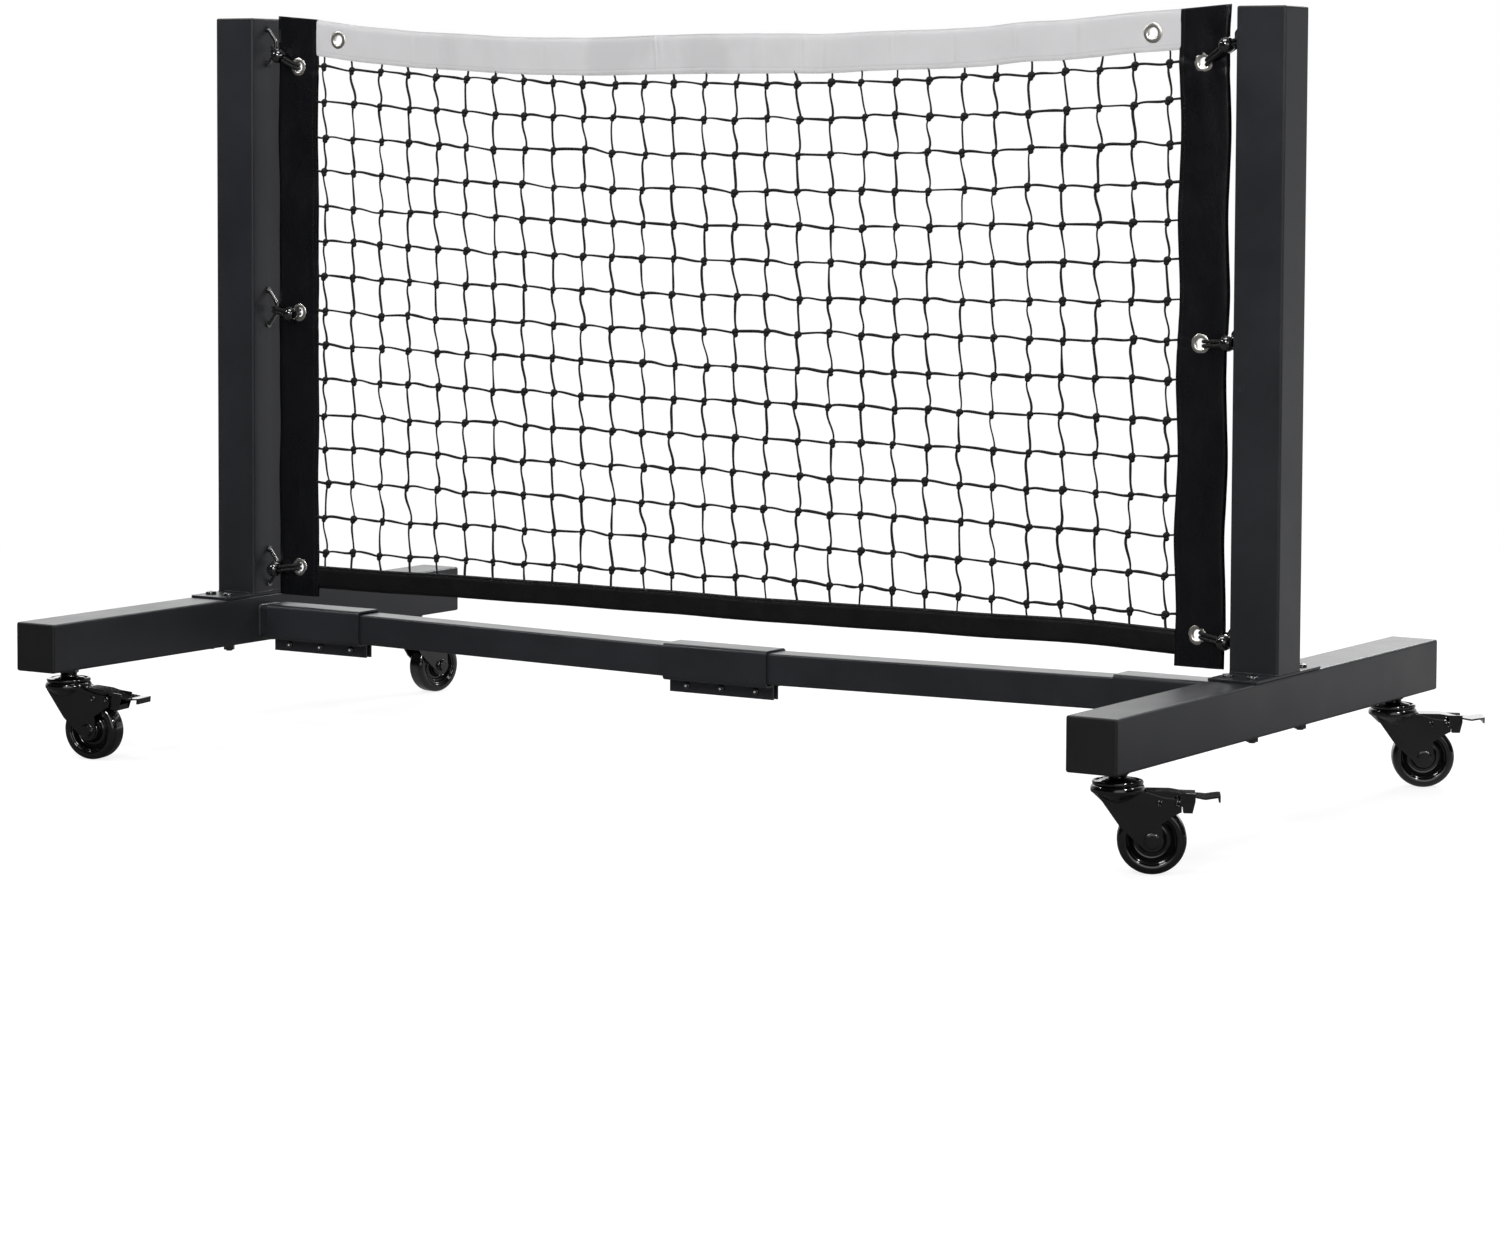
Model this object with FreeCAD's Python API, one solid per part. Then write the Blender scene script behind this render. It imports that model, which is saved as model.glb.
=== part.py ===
import FreeCAD, Part

import math
import os
from FreeCAD import Placement, Rotation, Vector

# All sizes are in millimetres. X runs along the net, Y across it and Z up from the floor.
# The origin is on the floor, midway between the two posts.

# Posts and their base plates
post_spacing = 1450.0
post_top_height = 914.0
post_size = 60.0
post_wall = 2.0
tube_corner = 3.0
cap_thickness = 3.0
cap_plug_depth = 6.0
cap_fit_gap = 0.15
plate_length = 172.0
plate_thickness = 3.0
plate_corner = 5.0

# Feet
foot_length = 826.0
foot_size = 60.0
foot_wall = 2.5

# Bolts that hold the base plates to the feet
bolt_radius = 4.0
bolt_pitch_x = 30.0
bolt_pitch_y = 124.0
bolt_head_radius = 7.0
bolt_head_height = 3.8
bolt_nut_flats = 13.0
bolt_nut_height = 6.5
bolt_end_past_nut = 1.5
hole_clearance = 0.4

# Cross bar and its pinch clamps
bar_size = 38.0
bar_wall = 2.0
bar_corner = 3.0
bar_below_foot_top = 33.0
bar_sag = 7.0
stub_length = 75.0
bar_end_gap = 1.0
clamp_length = 148.0
clamp_wall = 2.5
clamp_running_gap = 0.3
clamp_flange_drop = 15.5
clamp_flange_gap = 7.0
clamp_shifts = {"left": 14.0, "centre": 7.0, "right": 0.0}
clamp_screw_radius = 2.5
clamp_screw_pitch = 49.5
clamp_screw_height = 8.5
clamp_screw_head_radius = 4.8
clamp_screw_head_height = 2.8
clamp_nut_flats = 8.0
clamp_nut_height = 4.0

# Casters. In a caster's own frame the stem stands on the origin and the wheel trails along +X.
caster_inset = 61.0
caster_trails = {
    "front_left": 10.0,
    "front_right": 28.0,
    "rear_left": 80.0,
    "rear_right": 30.0,
}
pedal_rests = {"front_left": 5.0, "front_right": 0.0, "rear_left": 0.0, "rear_right": 0.0}
wheel_radius = 36.5
wheel_width = 25.0
tyre_depth = 10.5
tread_rounding = 5.0
wheel_trail = 36.0
axle_radius = 4.0
axle_head_flats = 13.0
axle_head_height = 5.3
hub_radius = 12.5
web_thickness = 7.0
rim_thickness = 2.4
fork_sheet = 2.5
fork_side_gap = 2.0
fork_over_wheel = 3.0
skirt_height = 9.7
skirt_radius = 17.0
crown_radius = 27.3
crown_height = 8.0
cup_height = 4.5
cup_rounding = 1.8
dome_height = 2.5
swivel_gap = 0.3
stem_radius = 6.0
stem_head_radius = 9.0
stem_head_height = 3.0
stem_show = 6.0
stem_reach = 26.0
stem_nut_flats = 22.0
stem_nut_height = 6.5
running_clearance = 0.05

# Brake pedal, a folded lever on a pivot pin, stopped by a second pin in a curved slot
pedal_travel = 17.0
pedal_sheet = 2.0
pedal_tip_width = 34.0
pedal_reach = 107.0
pedal_over_wheel = 13.5
pedal_side_gap = 0.8
pedal_pin_radius = 2.5
pedal_pin_head = 3.6
pedal_pin_over_wheel = 3.5
pedal_pivot_ahead = 8.0
pedal_stop_ahead = 27.0
shoe_gap = 0.3

# Net. The mesh hangs in the plane midway between the posts' faces.
net_side_gap = 20.0
side_band_width = 62.0
net_above_bar = 35.0
net_below_post_top = 2.0
side_band_rise = 5.0
band_thickness = 4.0
top_band_height = 49.0
top_band_sag = 25.0
bottom_band_lift = 9.0
bottom_band_height = 27.5
bottom_band_rise = 4.0
twine_size = 2.4
mesh_columns = 23
mesh_rows = 13

# Grommets, hooks and ball bungees
grommet_hole_radius = 6.0
grommet_rim_radius = 12.0
grommet_wall = 1.0
grommet_rim_height = 1.0
grommet_fit_gap = 0.1
top_grommet_inset = 35.0
side_grommet_inset = 33.0
tie_below_band_top = 60.0
tie_above_band_low = 37.0
middle_tie_share = 0.494
hook_rises = {"top": 26.0, "middle": 5.0, "bottom": -2.0}
ball_slides = {
    "left": {"top": 25.0, "middle": 7.0, "bottom": 34.0},
    "right": {"top": 33.0, "middle": 38.0, "bottom": 38.0},
}
hook_wire_radius = 2.2
hook_reach = 14.0
hook_half_height = 22.0
hook_tip_half = 7.0
hook_foot_radius = 4.2
hook_foot_depth = 2.5
hook_leg_inside = 8.0
hook_nut_flats = 8.0
hook_nut_height = 3.5
ball_radius = 8.5
ball_droop = 3.0
cord_radius = 2.25
cord_bend_radius = 4.5
cord_pair_gap = 0.5
cord_clearance = 0.35

# Heights that follow from the sizes above
skirt_bottom = 2 * wheel_radius + fork_over_wheel
crown_bottom = skirt_bottom + skirt_height
crown_top = crown_bottom + crown_height
cup_bottom = crown_top + swivel_gap
cup_top = cup_bottom + cup_height
foot_bottom = cup_top + stem_show + stem_nut_height
foot_top = foot_bottom + foot_size
plate_top = foot_top + plate_thickness
bar_height = foot_top - bar_below_foot_top
post_x = post_spacing / 2
post_inner_x = post_x - post_size / 2
foot_inner_x = post_x - foot_size / 2
band_outer_x = post_inner_x - net_side_gap
band_inner_x = band_outer_x - side_band_width
joint_x = foot_inner_x - stub_length
side_band_low = bar_height + net_above_bar
side_band_top = post_top_height - net_below_post_top
bottom_band_low = side_band_low + bottom_band_lift
tie_heights = {
    "top": side_band_top - tie_below_band_top,
    "middle": side_band_low + middle_tie_share * (side_band_top - side_band_low),
    "bottom": side_band_low + tie_above_band_low,
}

up = Vector(0, 0, 1)
along_x = Vector(1, 0, 0)
along_y = Vector(0, 1, 0)


def save(name, solids):
    """Writes one named piece, or a group of like pieces, as a STEP file."""
    Part.makeCompound(solids).exportStep("parts/" + name + ".step")
    for solid in solids:
        if not solid.isValid() or len(solid.Solids) != 1:
            print("check", name, solid.isValid(), len(solid.Solids))


def box(x, y, z):
    """A box between three pairs of low and high values."""
    return Part.makeBox(x[1] - x[0], y[1] - y[0], z[1] - z[0], Vector(x[0], y[0], z[0]))


def moved(shape, position, axis=up, angle=0.0):
    """A copy turned about an axis through the origin, then moved."""
    copy = shape.copy()
    copy.Placement = Placement(position, Rotation(axis, angle)).multiply(copy.Placement)
    return copy


def mirrored(shape):
    """The same piece on the other side of the net's middle."""
    return shape.mirror(Vector(0, 0, 0), along_x)


def joined(shapes):
    return shapes[0].multiFuse(shapes[1:]).removeSplitter()


def upright_edges(solid):
    edges = []
    for edge in solid.Edges:
        low, high = edge.Vertexes[0].Point, edge.Vertexes[-1].Point
        if abs(low.x - high.x) + abs(low.y - high.y) < 1e-6:
            edges.append(edge)
    return edges


def square_bar(size, corner, length):
    """A square bar with rounded long edges, standing on its middle along +Z."""
    half = size / 2
    bar = box((-half, half), (-half, half), (0, length))
    return bar.makeFillet(corner, upright_edges(bar))


def square_tube(size, wall, corner, length):
    inside = square_bar(size - 2 * wall, max(corner - wall, 0.5), length)
    return square_bar(size, corner, length).cut(inside)


def end_cap(size, wall, corner):
    """A plastic cap: a plate as wide as the tube, with a plug that fits inside it."""
    plug = square_bar(size - 2 * wall - 2 * cap_fit_gap, max(corner - wall, 0.5), cap_plug_depth)
    hollow = size - 2 * wall - 2 * cap_fit_gap - 2 * cap_thickness
    plug = plug.cut(square_bar(hollow, max(corner - wall, 0.5), cap_plug_depth))
    plate = moved(square_bar(size, corner, cap_thickness), Vector(0, 0, -cap_thickness))
    return joined([plate, plug])


def hexagon(flats, height):
    corner = flats / math.sqrt(3)
    points = []
    for i in range(7):
        turn = math.radians(60 * i)
        points.append(Vector(corner * math.cos(turn), corner * math.sin(turn), 0))
    return Part.Face(Part.makePolygon(points)).extrude(Vector(0, 0, height))


def hex_nut(flats, height, bore):
    """A hexagon nut on the origin, with its corners turned off at both ends."""
    corner = flats / math.sqrt(3)
    turned = Part.makeCylinder(corner, height)
    rims = [e for e in turned.Edges if len(e.Vertexes) == 1]
    turned = turned.makeChamfer((corner - flats / 2) * 0.6, rims)
    return hexagon(flats, height).common(turned).cut(Part.makeCylinder(bore, height))


def button_screw(radius, head_radius, head_height, length):
    """A button head screw pointing down, with the underside of its head at the origin."""
    head = Part.makeCylinder(head_radius, head_height)
    rims = [e for e in head.Edges if len(e.Vertexes) == 1 and e.CenterOfMass.z > head_height / 2]
    head = head.makeFillet(head_height * 0.7, rims)
    socket = moved(hexagon(radius * 1.25, head_height), Vector(0, 0, head_height * 0.45))
    shank = Part.makeCylinder(radius, length, Vector(0, 0, -length))
    return joined([head.cut(socket), shank])


def outline_solid(points, y_low, thickness):
    """A plate cut to an outline of (x, z) points, from y_low towards +Y."""
    corners = [Vector(x, y_low, z) for x, z in points]
    face = Part.Face(Part.makePolygon(corners + corners[:1]))
    return face.extrude(Vector(0, thickness, 0))


def rounded_route(points, radius, closed):
    """Straight runs through the points, joined by arcs of one radius at the corners."""
    count = len(points)
    corners = range(count) if closed else range(1, count - 1)
    ends = {}
    arcs = {}
    for i in corners:
        here = points[i]
        back = (points[i - 1] - here).normalize()
        ahead = (points[(i + 1) % count] - here).normalize()
        half_turn = (math.pi - back.getAngle(ahead)) / 2
        reach = radius * math.tan(half_turn)
        middle = (back + ahead).normalize()
        depth = radius / math.cos(half_turn) - radius
        ends[i] = (here + back * reach, here + ahead * reach)
        arcs[i] = Part.Arc(ends[i][0], here + middle * depth, ends[i][1]).toShape()
    edges = []
    for i in range(count if closed else count - 1):
        j = (i + 1) % count
        start = ends[i][1] if i in ends else points[i]
        stop = ends[j][0] if j in ends else points[j]
        edges.append(Part.LineSegment(start, stop).toShape())
        if j in arcs:
            edges.append(arcs[j])
    return edges


def round_rod(edges, radius):
    """A round rod along a route of lines and arcs, run by run."""
    runs = []
    for edge in edges:
        start = edge.valueAt(edge.FirstParameter)
        heading = edge.tangentAt(edge.FirstParameter)
        profile = Part.Wire([Part.Circle(start, heading, radius).toShape()])
        runs.append(Part.Wire([edge]).makePipeShell([profile], True, False))
    return joined(runs).Solids[0]


def tangent_point(point, centre, radius, side):
    """Where a line from the point touches a circle, on its left (+1) or right (-1) side."""
    dx, dz = centre[0] - point[0], centre[1] - point[1]
    distance = math.hypot(dx, dz)
    bearing = math.atan2(dz, dx) + side * math.asin(radius / distance)
    reach = math.sqrt(distance**2 - radius**2)
    return point[0] + reach * math.cos(bearing), point[1] + reach * math.sin(bearing)


def bolt_places(x):
    places = []
    for dx in (-bolt_pitch_x / 2, bolt_pitch_x / 2):
        for dy in (-bolt_pitch_y / 2, bolt_pitch_y / 2):
            places.append(Vector(x + dx, dy, 0))
    return places


def caster_place(name):
    x = -post_x if name.endswith("left") else post_x
    y = foot_length / 2 - caster_inset
    return Vector(x, -y if name.startswith("front") else y, 0)


# Feet: square tubes that lie across the net line, each with two end caps
def foot_tube(x):
    length = foot_length - 2 * cap_thickness
    tube = moved(square_tube(foot_size, foot_wall, tube_corner, length), Vector(), along_x, -90)
    tube = moved(tube, Vector(x, -length / 2, foot_bottom + foot_size / 2))
    holes = []
    for place in bolt_places(x):
        start = Vector(place.x, place.y, foot_bottom)
        holes.append(Part.makeCylinder(bolt_radius + hole_clearance, foot_size, start))
    for name in caster_trails:
        place = caster_place(name)
        if place.x * x > 0:
            start = Vector(place.x, place.y, foot_bottom)
            holes.append(Part.makeCylinder(stem_radius + hole_clearance, foot_wall, start))
    return tube.cut(Part.makeCompound(holes))


def foot_end_caps():
    caps = []
    cap = end_cap(foot_size, foot_wall, tube_corner)
    for x in (-post_x, post_x):
        for side in (-1, 1):
            turned = moved(cap, Vector(), along_x, 90 * side)
            y = side * (foot_length / 2 - cap_thickness)
            caps.append(moved(turned, Vector(x, y, foot_bottom + foot_size / 2)))
    return caps


# Posts: upright square tubes welded to a base plate, each closed by a cap
def post(x):
    length = post_top_height - cap_thickness - plate_top
    tube = square_tube(post_size, post_wall, tube_corner, length)
    tube = moved(tube, Vector(x, 0, plate_top))
    inner_x = math.copysign(post_inner_x, x)
    holes = []
    for name, z in tie_heights.items():
        for dz in (-hook_half_height, hook_half_height):
            start = Vector(inner_x, 0, z + hook_rises[name] + dz) - along_x * post_wall
            leg_hole = Part.makeCylinder(hook_wire_radius + hole_clearance, 2 * post_wall, start, along_x)
            holes.append(leg_hole)
    return tube.cut(Part.makeCompound(holes))


def base_plate(x):
    half = plate_length / 2
    plate = box((x - foot_size / 2, x + foot_size / 2), (-half, half), (foot_top, plate_top))
    plate = plate.makeFillet(plate_corner, upright_edges(plate))
    for place in bolt_places(x):
        start = Vector(place.x, place.y, foot_top)
        plate = plate.cut(Part.makeCylinder(bolt_radius + hole_clearance, plate_thickness, start))
    return plate


def post_cap(x):
    cap = moved(end_cap(post_size, post_wall, tube_corner), Vector(), along_x, 180)
    return moved(cap, Vector(x, 0, post_top_height - cap_thickness))


def base_fasteners():
    grip = plate_thickness + foot_size
    length = grip + bolt_nut_height + bolt_end_past_nut
    bolt = button_screw(bolt_radius, bolt_head_radius, bolt_head_height, length)
    nut = hex_nut(bolt_nut_flats, bolt_nut_height, bolt_radius + running_clearance)
    bolts, nuts = [], []
    for x in (-post_x, post_x):
        for place in bolt_places(x):
            bolts.append(moved(bolt, place + up * plate_top))
            nuts.append(moved(nut, place + up * (foot_bottom - bolt_nut_height)))
    return bolts, nuts


# Cross bar: a stub on each foot and two tubes between them, held end to end by three clamps.
# The play in the clamps lets the bar's middle hang a little, so each tube slopes.
slope_span = joint_x - clamp_length / 2
bar_slope = math.degrees(math.atan(bar_sag / slope_span))
clamp_gap = clamp_running_gap + bar_sag / slope_span * (stub_length / 2 + max(clamp_shifts.values()))


def stub_tube():
    tube = square_tube(bar_size, bar_wall, bar_corner, stub_length - bar_end_gap / 2)
    tube = moved(tube, Vector(), along_y, -90)
    return moved(tube, Vector(foot_inner_x, 0, bar_height))


def cross_tube():
    """The right tube. Its slope passes through the middle of its bearing in both clamps."""
    length = joint_x - bar_end_gap
    tube = moved(square_tube(bar_size, bar_wall, bar_corner, length), Vector(), along_y, 90)
    tube = moved(tube, Vector(), along_y, -bar_slope)
    bearing = clamp_length / 4
    drop = bar_sag + (bar_end_gap / 2 - bearing) * -bar_sag / slope_span
    low_z = bar_height - bar_sag - math.tan(math.radians(bar_slope)) * (bearing - bar_end_gap / 2)
    return moved(tube, Vector(bar_end_gap / 2, 0, low_z))


def pinch_clamp():
    """Sheet wrapped round the tube, whose two ends turn down as flanges that screws pull together."""
    bore = bar_size + 2 * clamp_gap
    outer = bore + 2 * clamp_wall
    sleeve = square_tube(outer, clamp_wall, bar_corner + clamp_wall, clamp_length)
    sleeve = moved(sleeve, Vector(0, 0, -clamp_length / 2))
    sleeve = moved(sleeve, Vector(), along_y, 90)
    half = clamp_length / 2
    low = -outer / 2 - clamp_flange_drop
    inner_y = clamp_flange_gap / 2
    outer_y = inner_y + clamp_wall
    slot = box((-half, half), (-inner_y, inner_y), (-outer / 2 - 1, -bore / 2 + 1))
    front = box((-half, half), (-outer_y, -inner_y), (low, -outer / 2 + clamp_wall / 2))
    rear = box((-half, half), (inner_y, outer_y), (low, -outer / 2 + clamp_wall / 2))
    clamp = joined([sleeve.cut(slot), front, rear])
    for place in clamp_screw_places():
        start = Vector(place.x, -outer_y, place.z)
        hole = Part.makeCylinder(clamp_screw_radius + hole_clearance, 2 * outer_y, start, along_y)
        clamp = clamp.cut(hole)
    return clamp


def clamp_screw_places():
    """Where the screws' axes pass, seen from the clamp's middle."""
    outer = bar_size + 2 * clamp_gap + 2 * clamp_wall
    z = -outer / 2 - clamp_flange_drop + clamp_screw_height
    return [Vector(i * clamp_screw_pitch, 0, z) for i in (-1, 0, 1)]


def clamp_centres():
    centres = {}
    for name, x in (("left", -joint_x), ("centre", 0.0), ("right", joint_x)):
        drop = bar_sag if name == "centre" else 0.0
        centres[name] = Vector(x + clamp_shifts[name], 0, bar_height - drop)
    return centres


def clamp_fasteners():
    face_y = clamp_flange_gap / 2 + clamp_wall
    length = 2 * face_y + clamp_nut_height + 1
    screw = button_screw(
        clamp_screw_radius, clamp_screw_head_radius, clamp_screw_head_height, length
    )
    screw = moved(screw, Vector(0, -face_y, 0), along_x, 90)
    nut = hex_nut(clamp_nut_flats, clamp_nut_height, clamp_screw_radius + running_clearance)
    nut = moved(nut, Vector(0, face_y, 0), along_x, -90)
    screws, nuts = [], []
    for centre in clamp_centres().values():
        for place in clamp_screw_places():
            screws.append(moved(screw, centre + place))
            nuts.append(moved(nut, centre + place))
    return screws, nuts


# Net: a knotted mesh between four sewn bands. The top band hangs flat in its middle.
def top_edge(x):
    return side_band_top - top_band_sag * (1 - abs(x / band_inner_x) ** 5)


def bottom_edge(x):
    return bottom_band_low + bottom_band_rise * (1 - (x / band_inner_x) ** 2)


def stations():
    step = 2 * band_inner_x / mesh_columns
    return [-band_inner_x + i * step for i in range(mesh_columns + 1)]


def band_plate(low, high):
    """A strip between two edges, given as functions of x."""
    points = [(x, low(x)) for x in stations()]
    points += [(x, high(x)) for x in reversed(stations())]
    return outline_solid(points, -band_thickness / 2, band_thickness)


def mesh_low(x):
    return bottom_edge(x) + bottom_band_height


def mesh_high(x):
    return top_edge(x) - top_band_height


def net_mesh():
    """The twine as one holed sheet, whose rows follow the curves of both bands."""
    xs = stations()
    half = twine_size / 2
    y = -half

    def level(x, row):
        return mesh_low(x) + (mesh_high(x) - mesh_low(x)) * row / mesh_rows

    rim = [Vector(x, y, mesh_low(x)) for x in xs]
    rim += [Vector(x, y, mesh_high(x)) for x in reversed(xs)]
    wires = [Part.makePolygon(rim + rim[:1])]
    for column in range(mesh_columns):
        left = xs[column] + half
        right = xs[column + 1] - half
        for row in range(mesh_rows):
            corners = [
                Vector(left, y, level(left, row) + half),
                Vector(right, y, level(right, row) + half),
                Vector(right, y, level(right, row + 1) - half),
                Vector(left, y, level(left, row + 1) - half),
            ]
            wires.append(Part.makePolygon(corners + corners[:1]))
    return Part.Face(wires, "Part::FaceMakerBullseye").extrude(Vector(0, twine_size, 0))


def grommet_hole(x, z):
    radius = grommet_hole_radius + grommet_wall + grommet_fit_gap
    return Part.makeCylinder(radius, band_thickness, Vector(x, -band_thickness / 2, z), along_y)


def top_band():
    band = band_plate(mesh_high, top_edge)
    for x, z in top_grommet_places():
        band = band.cut(grommet_hole(x, z))
    return band


def side_band():
    """The right band. Its top rises a little towards the post."""
    points = [
        (band_inner_x, side_band_low),
        (band_outer_x, side_band_low),
        (band_outer_x, side_band_top + side_band_rise),
        (band_inner_x, side_band_top),
    ]
    band = outline_solid(points, -band_thickness / 2, band_thickness)
    for z in tie_heights.values():
        band = band.cut(grommet_hole(band_outer_x - side_grommet_inset, z))
    return band


def top_grommet_places():
    x = band_inner_x - top_grommet_inset
    z = top_edge(x) - top_band_height / 2
    return [(-x, z), (x, z)]


def grommet(x, z):
    """A brass eyelet: a barrel through the band with a rim pressed over each face."""
    half = band_thickness / 2 + grommet_rim_height
    barrel = Part.makeCylinder(grommet_hole_radius + grommet_wall, 2 * half, Vector(0, 0, -half))
    rims = []
    for low in (-half, band_thickness / 2):
        rim = Part.makeCylinder(grommet_rim_radius, grommet_rim_height, Vector(0, 0, low))
        outside = -half if low < 0 else half
        edges = [e for e in rim.Edges if len(e.Vertexes) == 1 and abs(e.CenterOfMass.z - outside) < 1e-6]
        rims.append(rim.makeFillet(grommet_rim_height * 0.8, edges))
    body = joined([barrel] + rims).cut(
        Part.makeCylinder(grommet_hole_radius, 2 * half, Vector(0, 0, -half))
    )
    return moved(moved(body, Vector(), along_x, 90), Vector(x, 0, z))


# Hook loops: bent wire whose threaded legs pass through the post's inner wall
hook_tip_x = post_inner_x - hook_reach


def hook_loop(z):
    """The right post's loop at one height: the wire with its two feet, and the nuts inside."""
    inside = post_inner_x + hook_leg_inside
    knee = post_inner_x - hook_wire_radius
    points = [
        Vector(inside, 0, z + hook_half_height),
        Vector(knee, 0, z + hook_half_height),
        Vector(hook_tip_x, 0, z + hook_tip_half),
        Vector(hook_tip_x, 0, z - hook_tip_half),
        Vector(knee, 0, z - hook_half_height),
        Vector(inside, 0, z - hook_half_height),
    ]
    wire = round_rod(rounded_route(points, hook_wire_radius * 1.6, False), hook_wire_radius)
    nut = hex_nut(hook_nut_flats, hook_nut_height, hook_wire_radius + running_clearance)
    nut = moved(nut, Vector(), along_y, 90)
    feet, nuts = [], []
    for dz in (-hook_half_height, hook_half_height):
        start = Vector(post_inner_x - hook_foot_depth, 0, z + dz)
        feet.append(Part.makeCylinder(hook_foot_radius, hook_foot_depth, start, along_x))
        nuts.append(moved(nut, Vector(post_inner_x + post_wall, 0, z + dz)))
    return [joined([wire] + feet)] + nuts


# Ball bungees: a doubled elastic cord from the hook through the grommet, stopped by a ball
def bungee(name, slide):
    """The right post's two cords at one tie, one above the other, and the ball on them."""
    grommet_x = band_outer_x - side_grommet_inset
    grommet_z = tie_heights[name]
    lean = hook_rises[name]
    clear = cord_radius + cord_clearance
    past_rim = band_thickness / 2 + grommet_rim_height + clear
    past_wire = hook_wire_radius + clear
    pair = cord_radius + cord_pair_gap / 2
    hold = min(abs(lean), hook_tip_half - pair - cord_radius)
    hold_z = grommet_z + lean - math.copysign(hold, lean)
    ball_y = -(band_thickness / 2 + grommet_rim_height + ball_radius + cord_clearance)
    ball_z = grommet_z + lean * slide / (hook_tip_x - grommet_x) - ball_droop
    centre = Vector(grommet_x + slide, ball_y, ball_z)
    ball = Part.makeSphere(ball_radius, centre)
    cords = []
    for dz in (-pair, pair):
        points = [
            Vector(grommet_x, past_rim, grommet_z + dz),
            Vector(grommet_x, -past_rim, grommet_z + dz),
            centre + up * dz,
            Vector(hook_tip_x + past_wire, -past_wire, hold_z + dz),
            Vector(hook_tip_x + past_wire, past_wire, hold_z + dz),
        ]
        route = rounded_route(points, cord_bend_radius, True)
        cords.append(round_rod(route, cord_radius))
        length = sum(edge.Length for edge in route)
        share = cords[-1].Volume / (math.pi * cord_radius**2 * length)
        print("cord", name, "length", round(length, 1), "radius", cord_bend_radius, "volume", round(share, 4))
    before = Vector(grommet_x, -past_rim, grommet_z)
    after = Vector(hook_tip_x + past_wire, -past_wire, hold_z)
    bore_radius = pair + cord_radius + 2 * cord_clearance
    bore = round_rod(rounded_route([before, centre, after], 1.5 * bore_radius, False), bore_radius)
    return cords, ball.cut(bore)


# Casters
def caster_stem():
    """What stays fixed to the foot: the threaded stem with its swivel cup, and its two nuts."""
    head_top = crown_top - fork_sheet - running_clearance
    head = Part.makeCylinder(stem_head_radius, stem_head_height, up * (head_top - stem_head_height))
    top = foot_bottom + stem_reach
    shank = Part.makeCylinder(stem_radius, top - head_top, up * head_top)
    cup = Part.makeCylinder(crown_radius - swivel_gap, cup_height, up * cup_bottom)
    rims = [e for e in cup.Edges if len(e.Vertexes) == 1]
    cup = cup.makeFillet(cup_rounding, rims)
    dome = Part.makeCone(crown_radius * 0.72, 2 * stem_radius, dome_height, up * cup_top)
    nut = hex_nut(stem_nut_flats, stem_nut_height, stem_radius + running_clearance)
    outer_nut = moved(nut, up * (foot_bottom - stem_nut_height))
    inner_nut = moved(nut, up * (foot_bottom + foot_wall))
    return [joined([head, shank, cup, dome]), outer_nut, inner_nut]


cheek_inside = wheel_width / 2 + fork_side_gap
cheek_outside = cheek_inside + fork_sheet
pin_height = 2 * wheel_radius + pedal_pin_over_wheel
pivot_x = wheel_trail + pedal_pivot_ahead
stop_x = wheel_trail + pedal_stop_ahead
pedal_underside = 2 * wheel_radius + pedal_over_wheel


def cheek_outline():
    """A fork cheek seen from its side: a tapered leg down to the axle, with a nose for the pins."""
    axle = (wheel_trail, wheel_radius)
    boss = hub_radius - 1.0
    top = crown_bottom + crown_height / 2
    nose_x = stop_x + pedal_pin_head
    nose_top = pin_height + pedal_pin_head
    back_knee = (2.5, skirt_bottom - 25.0)
    front_knee = (wheel_trail + boss - 1.5, skirt_bottom - 21.0)
    leg_back = tangent_point(back_knee, axle, boss, -1)
    leg_front = tangent_point(front_knee, axle, boss, 1)
    return [
        (-crown_radius * 0.77, top),
        (-crown_radius * 0.77, crown_bottom - 1.5),
        (-skirt_radius * 0.9, skirt_bottom),
        back_knee,
        leg_back,
        leg_front,
        front_knee,
        (nose_x - 6.0, pin_height - 12.0),
        (nose_x, pin_height - 9.0),
        (nose_x, nose_top),
        (pivot_x + pedal_pin_head, nose_top + 2.0),
        (crown_radius * 0.8, top),
    ]


def across(radius, half_width, x, z):
    """A round bar across the caster, centred between its cheeks."""
    return Part.makeCylinder(radius, 2 * half_width, Vector(x, -half_width, z), along_y)


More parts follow.
